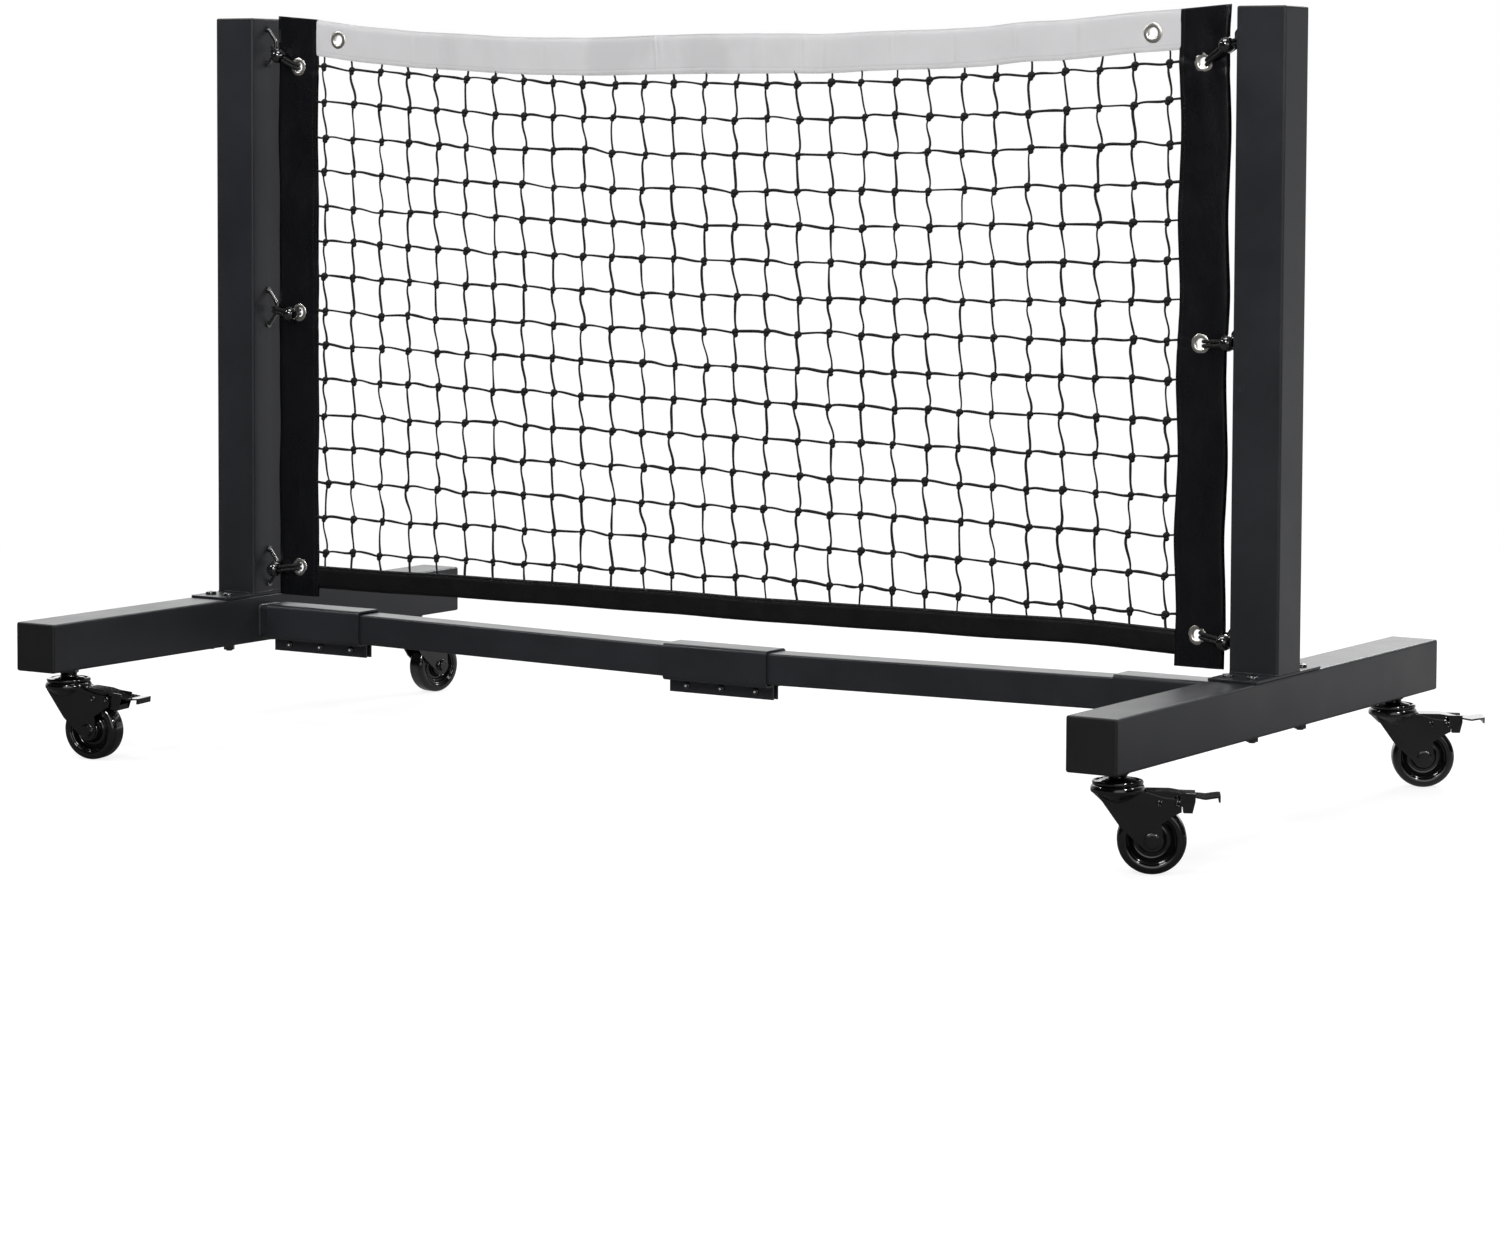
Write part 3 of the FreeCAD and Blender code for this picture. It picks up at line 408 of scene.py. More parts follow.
# Base plates, posts and cross bar
# Each post is welded to a 3 mm base plate, bolted through the foot. The bar's two tubes are
# held end to end on short stubs by folded sheet clamps. All have the feet's powder coat.

dress(powder_coat, "left_post", "right_post", "left_stub_tube", "right_stub_tube",
      "left_cross_tube", "right_cross_tube")
for node, rounding in (("left_base_plate", 0.0006), ("right_base_plate", 0.0006),
                       ("left_clamp", 0.0005), ("centre_clamp", 0.0005),
                       ("right_clamp", 0.0005)):
    softened(node, powder_coat, "powder_coat", "stand", rounding)


# Weld beads
# A bead of weld runs round the foot of each post, 3 mm thick, and round the root of each stub,
# 5 mm thick. It is laid in short ripples and coated over with the tubes.

def drawn_mesh(curve):
    """The smooth mesh of a thick curve."""
    drawn = added(curve.name, curve)
    bpy.context.view_layer.update()
    graph = bpy.context.evaluated_depsgraph_get()
    mesh = bpy.data.meshes.new_from_object(drawn.evaluated_get(graph))
    bpy.data.objects.remove(drawn)
    mesh.shade_smooth()
    return mesh


def thick_curve(name, radius, resolution):
    """A round curve that has no run yet."""
    curve = bpy.data.curves.new(name, "CURVE")
    curve.dimensions = "3D"
    curve.bevel_depth = radius
    curve.bevel_resolution = resolution
    return curve


def weld_bead(name, corners, radius):
    """A rippled bead along a closed run of straight sides."""
    ripple = random.Random(name)
    points = []
    for here, ahead in zip(corners, corners[1:] + corners[:1]):
        steps = max(2, round((ahead - here).length / 0.0018))
        points += [here.lerp(ahead, i / steps) for i in range(steps)]
    curve = thick_curve(name + "_curve", radius, 2)
    spline = curve.splines.new("POLY")
    spline.points.add(len(points) - 1)
    spline.use_cyclic_u = True
    for i, (place, point) in enumerate(zip(spline.points, points)):
        wander = Vector([ripple.uniform(-1, 1) for axis in "XYZ"])
        place.co = (*(point + wander * 0.00012), 1.0)
        place.radius = (1.08 if i % 2 else 0.86) * ripple.uniform(0.95, 1.05)
    return piece(name, drawn_mesh(curve), powder_coat, "powder_coat", "stand")


def square_run(centre, across, upward, half, corner):
    """Points round a square with cut corners, about a centre."""
    points = []
    for a, b in ((1, 1), (-1, 1), (-1, -1), (1, -1)):
        first = (half, half - corner) if a * b > 0 else (half - corner, half)
        for u, v in (first, first[::-1]):
            points.append(Vector(centre) + Vector(across) * (a * u) + Vector(upward) * (b * v))
    return points


sides = (("left", -1), ("right", 1))
post_root_z, stub_root_x, bar_z = 0.1746, 0.6944, 0.138
for side, sign in sides:
    round_post = square_run((sign * post_x, 0, post_root_z), (1, 0, 0), (0, 1, 0), 0.0290, 0.0012)
    weld_bead(side + "_post_weld", round_post, 0.0014)
    round_stub = square_run((sign * stub_root_x, 0, bar_z), (0, 1, 0), (0, 0, 1), 0.0194, 0.0014)
    weld_bead(side + "_stub_weld", round_stub, 0.0027)


# Fasteners and hook loops
# Button head bolts and screws with hexagon nuts, and loops of 4.4 mm wire whose threaded legs
# pass through each post's inner wall, all zinc plated and blackened. A pale grey pin in each clamp
# screw's socket is a painted highlight, standing in for the glint at the screw's centre.

black_zinc = hard_finish("Blackened zinc plate", (0.012, 0.012, 0.013), (0.018, 0.018, 0.019),
                         rough=0.26, peel=700.0, grain=2600.0, share=0.4, bump=0.00004,
                         cover=1.0, **{"Metallic": 0.35, "Coat Weight": 1.0,
                                       "Coat Roughness": 0.08, "Coat IOR": 1.9})
dress(black_zinc, "base_plate_bolts", "base_plate_nuts", "clamp_screws", "clamp_nuts",
      "left_hook_loops", "right_hook_loops")
# A pale grey, nearly matt finish for the pins: a painted highlight for the glint at each clamp
# screw's centre.
pale_pin_painted_glint = hard_finish("Pale pin, painted glint", (0.72, 0.72, 0.70), (0.86, 0.86, 0.84), rough=0.42,
                        peel=700.0, grain=2600.0, share=0.4, bump=0.00002, cover=0.0,
                        Metallic=0.2)
clamp_middles = ((-0.606, 0.10854), (0.007, 0.10154), (0.620, 0.10854))
screw_spacing, flange_face = 0.0495, -0.006
pin = [(0.0, 0.0007), (0.0017, 0.0007), (0.0017, 0.0019), (0.0016, 0.0025), (0.0013, 0.0030),
       (0.0009, 0.0034), (0.0004, 0.0036), (0.0, 0.0036)]
pins = [turned(pin, (middle + step * screw_spacing, flange_face, height), (0, -1, 0), steps=16,
               closed=False, crease=None)
        for middle, height in clamp_middles for step in (-1, 0, 1)]
piece("clamp_screw_pins", gathered("clamp_screw_pins", pins), pale_pin_painted_glint, "eyelet_metal", "stand")


# Net mesh
# Flat black twine, about 2.8 mm wide, knotted by machine into square meshes of 44.45 mm: 28
# upright strands and 15 across. Each leaves its knots on the same side and wanders a little
# between them.

band_half = 0.613
pitch = 0.04445
upright_count, level_count = 28, 15
mesh_middle_z = 0.5411
head_sag, foot_rise = 0.0232, 0.0069
twine_radius, tuck = 0.0014, 0.006


def along(heights, x):
    """A smooth run through (x, height) pairs, in metres."""
    row = [heights[0]] + heights + [heights[-1]]
    for before, here, ahead, after in zip(row, row[1:], row[2:], row[3:]):
        if x <= ahead[0] or ahead is heights[-1]:
            run = ahead[0] - here[0]
            share = min(1.0, max(0.0, (x - here[0]) / run))
            rise = (ahead[1] - before[1]) / (ahead[0] - before[0]) * run
            fall = (after[1] - here[1]) / (after[0] - here[0]) * run
            square, cube = share ** 2, share ** 3
            return ((2 * cube - 3 * square + 1) * here[1] + (cube - 2 * square + share) * rise
                    + (3 * square - 2 * cube) * ahead[1] + (cube - square) * fall)


top_edge = [(-0.613, 0.9115), (-0.567, 0.9056), (-0.504, 0.8995), (-0.440, 0.8945),
            (-0.380, 0.8916), (-0.320, 0.8880), (-0.257, 0.8863), (-0.168, 0.8859),
            (-0.109, 0.8874), (-0.050, 0.8887), (0.034, 0.8890), (0.091, 0.8886),
            (0.146, 0.8876), (0.200, 0.8896), (0.255, 0.8910), (0.309, 0.8920),
            (0.362, 0.8945), (0.414, 0.8993), (0.460, 0.9008), (0.500, 0.9040),
            (0.568, 0.9095), (0.613, 0.9120)]
hem_edge = [(-0.613, 0.1838), (-0.450, 0.1855), (-0.200, 0.1864), (0.060, 0.1862),
            (0.200, 0.1872), (0.420, 0.1889), (0.520, 0.1887), (0.613, 0.1862)]
bottom_band_depth = 0.0285


def hump(away, width):
    """A smooth rise to one, that falls off over about its width to each side."""
    return math.exp(-(away / width) ** 2)


def top_band_top(x):
    return along(top_edge, x)


def top_band_low(x):
    return top_band_top(x) - 0.0455 - 0.0022 * hump(x, 0.15)


def bottom_band_low(x):
    return along(hem_edge, x)


def bottom_band_top(x):
    return bottom_band_low(x) + bottom_band_depth


def knot_places(wander):
    """Where the knots sit, by upright and level, the top level first."""
    places = []
    for i in range(upright_count):
        x = -0.001 + pitch * (i - (upright_count - 1) / 2)
        sag = 1 - (x / band_half) ** 2
        column = []
        for j in range(level_count):
            share = j / (level_count - 1)
            z = mesh_middle_z + pitch * ((level_count - 1) / 2 - j)
            z -= sag * (head_sag * (1 - share) - foot_rise * share)
            column.append(Vector((x + wander.gauss(0, 0.0014), wander.gauss(0, 0.0004),
                                  z + wander.gauss(0, 0.0011))))
        places.append(column)
    return places


def smooth_spline(curve, points, resolution):
    """One open spline led by its control points."""
    spline = curve.splines.new("NURBS")
    spline.points.add(len(points) - 1)
    for place, point in zip(spline.points, points):
        place.co = (*point, 1.0)
    spline.order_u = 3
    spline.use_endpoint_u = True
    spline.resolution_u = resolution
    return spline


def strand(curve, points, wander, thick):
    """One length of twine, thicker and thinner as its flat braid turns."""
    for place in smooth_spline(curve, points, 3).points:
        place.radius = thick * wander.uniform(0.66, 1.28)


def bowed(start, stop, across, bow, wander):
    """Two points between knots: the twine swings out to one side, then back past the other."""
    first = start.lerp(stop, 0.28) + across * bow * wander.uniform(0.2, 1.0)
    second = start.lerp(stop, 0.72) + across * bow * wander.uniform(-0.75, 0.3)
    return [first, second]


def knot_column(column, wander):
    """The knots of one upright: each a turned lump with a smaller turn of twine below it."""
    body = bmesh.new()
    lobes = [((0.0003, 0.0, 0.0004), (0.0047, 0.0030, 0.0037)),
             ((-0.0014, -0.0003, -0.0032), (0.0032, 0.0025, 0.0029))]
    for knot in column:
        turn = Matrix.Rotation(wander.uniform(-0.65, 0.15), 4, "Y")
        size = wander.uniform(0.95, 1.22)
        for offset, radii in lobes:
            shape = Matrix.Translation(knot) @ turn @ Matrix.Translation(offset)
            shape = shape @ Matrix.Diagonal((*(radius * size for radius in radii), 1))
            bmesh.ops.create_uvsphere(body, u_segments=7, v_segments=5, radius=1.0,
                                      matrix=shape)
    return skin(body, "knots")


def twine_mesh():
    """All the strands and their knots."""
    wander = random.Random(11)
    knots = knot_places(wander)
    curve = thick_curve("twine", twine_radius, 1)
    slant = Vector((0.0017, 0, 0.0021))
    for column in knots:
        x = column[0].x
        head = Vector((x + wander.gauss(0, 0.003), 0, top_band_low(x) + tuck))
        points = [head, column[0] + slant, column[0] - slant]
        for above, below in zip(column, column[1:]):
            points += bowed(above, below, Vector((-1, 0, 0)), 0.0046, wander)
            points += [below + slant, below - slant]
        foot = Vector((column[-1].x + wander.gauss(0, 0.002), 0, bottom_band_top(x) - tuck))
        strand(curve, points + [foot], wander, 1.0)
    slant = Vector((0.0027, 0, 0.0011))
    for row in zip(*knots):
        left, right = (Vector((side * (band_half + tuck), 0, knot.z + 0.002))
                       for side, knot in ((-1, row[0]), (1, row[-1])))
        points = [left, row[0] - slant, row[0] + slant]
        for here, ahead in zip(row, row[1:]):
            points += bowed(here, ahead, Vector((0, 0, 1)), 0.0024, wander)
            points += [ahead - slant, ahead + slant]
        strand(curve, points + [right], wander, 1.22)
    mesh = drawn_mesh(curve)
    return gathered("net_twine", [mesh] + [knot_column(column, wander) for column in knots])


def twine_finish():
    material, tree, shader, where = surface(
        "Knotted black twine",
        {"Sheen Weight": 0.05, "Sheen Roughness": 0.4, "Specular IOR Level": 0.3})
    fibre = cloud(tree, where, 1800.0, 3.0, 0.7)
    plait = put(tree, "TexVoronoi", {"Vector": where, "Scale": 900.0})
    feed(tree, shader, {
        "Base Color": blended(tree, fibre, (0.0035, 0.0035, 0.004), (0.0095, 0.0095, 0.0105)),
        "Roughness": spread(tree, fibre, 0.0, 1.0, 0.5, 0.8),
        "Normal": relief(tree, worked(tree, "ADD", fibre, plait), 0.8, 0.0002)})
    return material


net_twine = piece("net_twine", twine_mesh(), twine_finish(), "twine", "stand", "net_mesh")


# Top band
# White coated webbing, 93 mm wide, folded over the mesh's top cord and sewn through 5 mm above
# its two raw edges, so it stands 46 mm deep. It has set creases across it where it was folded.

eyelet_hole = 0.0075


def folded_strip(low, high, ends, steps, fold_above, puff, holes, ripple):
    """A strip folded lengthwise, front and back plies joined at the fold.

    low and high give its edges' heights along X, fold_above says which edge is the fold, and
    ripple moves a point out of the plane. The UV map holds metres along it and round the fold."""
    body = bmesh.new()
    bmesh.ops.create_grid(body, x_segments=steps, y_segments=24, size=0.5)
    cloth = body.loops.layers.uv.new("Cloth")
    flat = {}
    for vertex in body.verts:
        x = ends[0] + (ends[1] - ends[0]) * (vertex.co.x + 0.5)
        round_it = vertex.co.y * 2
        rise = 1 - abs(round_it)
        bottom, top = low(x), high(x)
        z = bottom + (top - bottom) * (rise if fold_above else 1 - rise)
        bulge = puff * min(1.0, rise * 6 + 0.55) * math.sqrt(max(0.0, 1 - rise ** 12))
        y = math.copysign(bulge, round_it) if abs(round_it) > 1e-6 else 0.0
        flat[vertex] = (x, (top - bottom) * (1 - rise) * (1 if round_it > 0 else -1))
        vertex.co = (x, y, z)
    for face in body.faces:
        for loop in face.loops:
            loop[cloth].uv = flat[loop.vert]
    punched = [vertex for vertex in body.verts
               if any(math.hypot(vertex.co.x - x, vertex.co.z - z) < eyelet_hole
                      for x, z in holes)]
    bmesh.ops.delete(body, geom=punched, context="VERTS")
    for vertex in body.verts:
        vertex.co += ripple(vertex.co)
    bmesh.ops.recalc_face_normals(body, faces=body.faces[:])
    return skin(body, "folded_strip")


def thickened(made):
    """Gives a piece of cloth its 0.6 mm, half to each side of the modelled face."""
    wall = made.modifiers.new("cloth thickness", "SOLIDIFY")
    wall.thickness = 0.0006
    wall.offset = 0.0
    shading = made.modifiers.new("flat faces lead the shading", "WEIGHTED_NORMAL")
    shading.weight = 80


top_band_depth = 0.046
top_creases = [(-0.463, 0.35, 0.15), (-0.262, 0.3, -0.1), (-0.096, 1.0, 0.25),
               (0.060, 0.25, -0.1), (0.112, 0.8, 0.05), (0.146, 0.4, -0.2), (0.236, 0.3, 0.1),
               (0.318, 0.35, 0.2), (0.402, 0.5, -0.15), (0.480, 0.5, 0.1)]


def waves(point, by_x, by_z, seed):
    """Smooth noise over the cloth, between about -1 and 1."""
    return noise.noise(Vector((point.x * by_x, point.z * by_z, seed)))


def top_ripple(point):
    """Slow waves, and across them bowed creases, each a nick with a low swell beside it."""
    down = top_band_top(point.x) - point.z
    out = 0.0011 * waves(point, 6, 5, 3.1)
    out += 0.00035 * waves(point, 17, 12, 5.3)
    drop = down / top_band_depth
    fade = max(0.0, 1 - drop) ** 0.5
    for x, depth, bow in top_creases:
        off = point.x - (x + bow * 0.03 * drop * (1.4 - drop))
        out -= 0.0012 * depth * fade * hump(off, 0.0021)
        out += 0.0009 * depth * fade * hump(off - 0.006, 0.0045)
    edge = min(1.0, down / 0.006 + 0.3)
    lift = 0.0004 * waves(point, 23, 0, 8.0)
    return Vector((0, math.copysign(out * edge, point.y), lift))


def cloth_weave_effect():
    """Plain weave under a thin coating, from a flat pattern's two directions in metres."""
    tree, given, made = effect("Coated weave", {"Threads per metre": 1600.0},
                               ("Height", "Shade"))
    parts = put(tree, "SeparateXYZ", {"Vector": given["Vector"]}).outputs
    threads = []
    for axis in ("X", "Y"):
        count = worked(tree, "MULTIPLY", parts[axis], given["Threads per metre"])
        threads.append(worked(tree, "SINE", worked(tree, "MULTIPLY", count, math.pi)))
    feed(tree, made, {"Height": worked(tree, "MULTIPLY", *threads),
                      "Shade": cloud(tree, given["Vector"], 12.0, 5.0, 0.6)})
    return tree


def eased(tree, *run):
    """Like spread, but slow at both ends."""
    return spread(tree, *run, interpolation_type="SMOOTHSTEP")


def stitch_effect():
    """Two rows of lock stitch near a sewn edge. Y of the flat pattern runs from the fold."""
    tree, given, made = effect("Stitch rows", {"Edge": 0.049, "Inset": 0.004, "Stitch": 0.0036},
                               ("Thread", "Pucker"))
    parts = put(tree, "SeparateXYZ", {"Vector": given["Vector"]}).outputs
    row = worked(tree, "SUBTRACT", given["Edge"], given["Inset"])
    off = worked(tree, "SUBTRACT", worked(tree, "ABSOLUTE", parts["Y"]), row)
    away = worked(tree, "ABSOLUTE", off)
    step = worked(tree, "FRACT", worked(tree, "DIVIDE", parts["X"], given["Stitch"]))
    thread = worked(tree, "MULTIPLY", spread(tree, away, 0.0003, 0.0006, 1.0, 0.0),
                    worked(tree, "LESS_THAN", step, 0.74))
    feed(tree, made, {"Thread": thread, "Pucker": eased(tree, away, 0.0, 0.0022, -1.0, 0.0)})
    return tree


weave = cloth_weave_effect()
stitches = stitch_effect()


def cloth_finish(name, dark, light, thread, rough, edge, inset, pull, creases, crease_depth,
                 **constants):
    """Coated cloth: weave, sewn rows, soft tone changes, fine creases, and painted shade in the
    creases.
    """
    material, tree, shader, where = surface(name, constants)
    flat = put(tree, "UVMap", uv_map="Cloth")
    woven = put(tree, "Group", {"Vector": flat}, node_tree=weave).outputs
    sewn = put(tree, "Group", {"Vector": flat, "Edge": edge, "Inset": inset},
               node_tree=stitches).outputs
    stretched = put(tree, "Mapping", {"Vector": where, "Scale": creases})
    crease = feed(tree, cloud(tree, stretched, 1.0, 4.0, 0.55), {"Distortion": 0.4})
    # The colour is painted darker where the crease noise dips, in the hollows of the crease bump:
    # painted shade in the creases.
    shade = worked(tree, "MULTIPLY", woven["Shade"], spread(tree, crease, 0.42, 0.5))
    fine = relief(tree, woven["Height"], 0.5, 0.00006)
    seams = worked(tree, "MULTIPLY_ADD", sewn["Thread"], 0.5, sewn["Pucker"])
    sewing = relief(tree, seams, 1.0, pull, Normal=fine)
    feed(tree, shader, {
        "Base Color": blended(tree, sewn["Thread"], blended(tree, shade, dark, light), thread),
        "Roughness": spread(tree, woven["Shade"], 0.3, 0.7, rough - 0.06, rough + 0.06),
        "Normal": relief(tree, crease, 1.0, crease_depth, Normal=sewing)})
    return material


white_band = cloth_finish("White coated webbing", (0.545, 0.54, 0.55), (0.65, 0.645, 0.655),
                          (0.66, 0.655, 0.665), rough=0.5, edge=top_band_depth, inset=0.005,
                          pull=0.00018, creases=(7.0, 7.0, 3.0), crease_depth=0.0014)
grommet_x = 0.578
grommet_z = top_band_top(grommet_x) - 0.0245
grommets = [(-grommet_x, grommet_z), (grommet_x, grommet_z)]
band_cloth = folded_strip(top_band_low, top_band_top, (-band_half, band_half), steps=900,
                          fold_above=True, puff=0.0013, holes=grommets, ripple=top_ripple)
top_band = piece("top_band_cloth", band_cloth, white_band, "white_band", "stand",
                 "net_top_band")
thickened(top_band)


# Bottom band
# Black coated cloth, 57 mm wide, folded under the mesh's lowest cord and sewn near its top
# edges, so it stands 28.5 mm deep.

def bottom_ripple(point):
    """Small waves, and a hem that rises and falls a little."""
    out = 0.0006 * waves(point, 16, 20, 5.0)
    return Vector((0, math.copysign(out, point.y), 0.0016 * waves(point, 7, 0, 2.0)))


black_band = cloth_finish("Black coated cloth", (0.0042, 0.0042, 0.005),
                          (0.0068, 0.0068, 0.0078), (0.012, 0.012, 0.013), rough=0.4,
                          edge=bottom_band_depth, inset=0.004, pull=0.0004,
                          creases=(26.0, 30.0, 22.0), crease_depth=0.0012,
                          **{"Specular IOR Level": 0.4})
hem_cloth = folded_strip(bottom_band_low, bottom_band_top, (-band_half, band_half), steps=320,
                         fold_above=False, puff=0.0016, holes=[], ripple=bottom_ripple)
bottom_band = piece("bottom_band_cloth", hem_cloth, black_band, "black_band", "stand",
                    "net_bottom_band")
thickened(bottom_band)


# Side bands
# Black coated cloth, 124 mm wide, folded to 62 mm at the post side and sewn onto the mesh and
# both cross bands. Three eyelets in each take the ball bungees, and the pull there creases it.

side_foot, side_head = 0.173, 0.912
side_inner, side_outer = band_half, 0.675
eyelet_x = 0.642
tie_heights = (0.852, 0.53807, 0.210)


def mirror(mesh):
    """Turns the right side's mesh into the left side's."""
    mesh.transform(Matrix.Diagonal((-1, 1, 1, 1)))
    mesh.flip_normals()


def side_band_cloth(sign):
    """One side band, made as a strip along X from its foot to its top and stood up."""
    def ripple(point):
        """Waves, folds that star out from each eyelet, and a rumpled top."""
        out = 0.0020 * waves(point, 7, 24, 4.0 + sign)
        for i, z in enumerate(tie_heights):
            up, across = point.x - z, point.z - eyelet_x
            away = math.hypot(up, across)
            turn = math.atan2(across, up)
            fold = math.sin(3 * turn + 1.7 * i + sign) + 0.6 * math.sin(7 * turn + 2.3 * i)
            out += 0.0011 * fold * min(1.0, away / 0.02) * math.exp(-away / 0.05)
        top = max(0.0, 1 - (side_head - point.x) / 0.07)
        out += 0.0024 * top * waves(point, 26, 48, 9.0 - sign)
        edge = 0.0030 * waves(point, 11, 0, 6.0 * sign)
        return Vector((0, math.copysign(out, point.y), edge))

    mesh = folded_strip(lambda x: side_inner, lambda x: side_outer, (side_foot, side_head),
                        steps=300, fold_above=True, puff=0.0017,
                        holes=[(z, eyelet_x) for z in tie_heights], ripple=ripple)
    mesh.transform(Matrix(((0, 0, 1, 0), (0, -1, 0, 0), (1, 0, 0, 0), (0, 0, 0, 1))))
    for vertex in mesh.vertices:
        near_top = max(0.0, vertex.co.z - (side_head - 0.06)) / 0.06
        vertex.co.z += 0.005 * near_top * (vertex.co.x - side_inner) / (side_outer - side_inner)
    if sign < 0:
        mirror(mesh)
    return mesh


side_cloth = cloth_finish("Black coated side cloth", (0.0034, 0.0035, 0.0050),
                          (0.0054, 0.0055, 0.0076), (0.008, 0.008, 0.009), rough=0.3,
                          edge=0.062, inset=0.005, pull=0.0003, creases=(30.0, 30.0, 14.0),
                          crease_depth=0.0014, **{"Specular IOR Level": 0.42})
for side, sign in sides:
    node = "net_" + side + "_side_band"
    cloth = piece(side + "_side_band_cloth", side_band_cloth(sign), side_cloth, "black_band",
                  "stand", node)
    thickened(cloth)


# Eyelets
# Nickel plated brass eyelets, 24 mm across over a 12 mm hole, pressed through the bands with a
# rolled rim on each face. Two in the top band are free, six in the side bands take the bungees.

half_eyelet = [(0.0060, 0.0), (0.0060, 0.0014)]
half_eyelet += arc((0.0083, 0.0014), (-0.0023, 0.0016), range(15, 91, 15))
half_eyelet += arc((0.0083, 0.0018), (0.0034, 0.0012), range(75, -1, -15))
half_eyelet += [(0.0115, 0.0016), (0.0070, 0.0016), (0.0070, 0.0)]


def eyelet_finish():
    material, tree, shader, where = surface("Nickel plated brass", {"Metallic": 1.0})
    tarnish = cloud(tree, where, 160.0, 4.0)
    feed(tree, shader, {
        "Base Color": blended(tree, tarnish, (0.74, 0.70, 0.63), (0.93, 0.91, 0.87)),
        "Roughness": spread(tree, tarnish, 0.0, 1.0, 0.28, 0.46),
        "Normal": relief(tree, cloud(tree, where, 1400.0, 2.0), 0.6, 0.00004)})
    return material


nickel = eyelet_finish()
in_sides = [(side * eyelet_x, z) for side in (-1, 1) for z in tie_heights]
for band, places in (("top_band", grommets), ("side_band", in_sides)):
    eyelets = [turned(half_eyelet + mirrored(half_eyelet[1:-1]), (x, 0, z), (0, 1, 0),
                      crease=None) for x, z in places]
    piece(band + "_eyelets", gathered(band + "_eyelets", eyelets), nickel, "eyelet_metal",
          "stand", band + "_grommets")


# Ball bungees
# Each is a 4.5 mm elastic cord doubled through an eyelet and round a hook loop. Both strands run
# through a 19 mm black plastic ball in front of the band, which keeps the loop from slipping out.

cord_radius, strand_rise = 0.00225, 0.0025
hook_x, hook_tip_half = 0.6858, 0.007
eyelet_clear, hook_clear = 0.0056, 0.0048
to_rim = 0.0027
ball_radius, ball_bore, ball_lip = 0.0095, 0.0052, 0.0006
ball_y, ball_hang, ball_run = -0.0125, 0.003, 0.039
# Each tie's name, its rise to the hook loop, and how far its balls have slid towards the loop.
ties = (
    ("top", 0.026, {"left": 0.025, "right": 0.033}),
    ("middle", 0.005, {"left": 0.007, "right": 0.038}),
    ("bottom", -0.002, {"left": 0.034, "right": 0.038}),
)
reach = math.sqrt(ball_radius ** 2 - (ball_bore + ball_lip) ** 2)
mouth = math.atan2(ball_bore + ball_lip, reach)
half_ball = [(ball_bore, 0.0), (ball_bore, reach - ball_lip), (ball_bore + 0.0002, reach - 0.0001)]
for i in range(12):
    turn = mouth + (math.pi / 2 - mouth) * i / 12
    half_ball.append((ball_radius * math.sin(turn), ball_radius * math.cos(turn)))
half_ball.append((ball_radius - 0.00012, 0.0))


def elastic_finish():
    material, tree, shader, where = surface(
        "Braided elastic cover",
        {"Sheen Weight": 0.05, "Specular IOR Level": 0.3, "Roughness": 0.5})
    parts = put(tree, "SeparateXYZ", {"Vector": where.node.outputs["UV"]}).outputs
    run = worked(tree, "MULTIPLY", parts["X"], 50.0)
    lays = []
    for strands in (4.0, -4.0):
        turn = worked(tree, "MULTIPLY_ADD", parts["Y"], strands, run)
        lays.append(worked(tree, "SINE", worked(tree, "MULTIPLY", turn, 2 * math.pi)))
    braid = worked(tree, "MAXIMUM", *lays)
    # The colour follows the braid's height: the grooves between strands are painted darker, as
    # shade, and the raised strands lighter.
    feed(tree, shader, {
        "Base Color": blended(tree, spread(tree, braid, -0.6, 1.0), (0.003, 0.003, 0.003),
                              (0.008, 0.008, 0.0085)),
        "Normal": relief(tree, braid, 0.8, 0.0002)})
    return material


ball_plastic = hard_finish("Moulded ball plastic", (0.006, 0.006, 0.006), (0.009, 0.009, 0.009),
                           rough=0.14, peel=300.0, grain=1500.0, share=0.2, bump=0.00002,
                           cover=0.6, **{"Coat Weight": 1.0, "Coat Roughness": 0.04,
                                         "Coat IOR": 1.9})
elastic = elastic_finish()
for side, sign in sides:
    for z, (name, lean, slides) in zip(tie_heights, ties):
        slide = slides[side]
        slack = hook_tip_half - (cord_radius + strand_rise)
        hold = z + lean - math.copysign(min(abs(lean), slack), lean)
        centre = Vector((eyelet_x + slide, ball_y, z + lean * slide / ball_run - ball_hang))
        front, back = (Vector((eyelet_x + to_rim, y, z)) for y in (-eyelet_clear, eyelet_clear))
        hook, behind_hook = (Vector((hook_x, y, hold)) for y in (-hook_clear, hook_clear))
        route = [centre + (front - centre).normalized() * 0.006, front, back,
                 back.lerp(behind_hook, 0.25), back.lerp(behind_hook, 0.78), behind_hook, hook,
                 centre + (hook - centre).normalized() * 0.006]
        for strand_name, rise in (("upper", strand_rise), ("lower", -strand_rise)):
            points = [Matrix.Diagonal((sign, 1, 1)) @ (point + Vector((0, 0, rise)))
                      for point in route]
            curve = thick_curve(side + "_" + name + "_elastic_" + strand_name, cord_radius, 4)
            spline = smooth_spline(curve, points, 8)
            elastic_cord = piece(curve.name, curve, elastic, "elastic_cord", "stand",
                                 "bungee_cords")
        ball = turned(half_ball + mirrored(half_ball[1:-1]), centre,
                      (hook - front).normalized(), steps=32, crease=None)
        if sign < 0:
            mirror(ball)
        piece(side + "_" + name + "_ball", ball, ball_plastic, "ball_plastic", "stand",
              "bungee_balls")


# Studio
# A pale floor runs out to white, in a room that the camera sees white. The net sees the room
# darker in front and at the right, but for a pale patch, and gloss sees the floor dark in front.
# Softboxes hang overhead, in front, at both sides and behind.

white = (1, 1, 1, 1)


def diffuse(tree, grey):
    return put(tree, "BsdfDiffuse", {"Color": (grey, grey, grey, 1)})


def glowing(tree, strength):
    return put(tree, "Emission", {"Color": white, "Strength": strength})


def either(tree, share, first, second):
    return put(tree, "MixShader", {0: share, 1: first, 2: second})


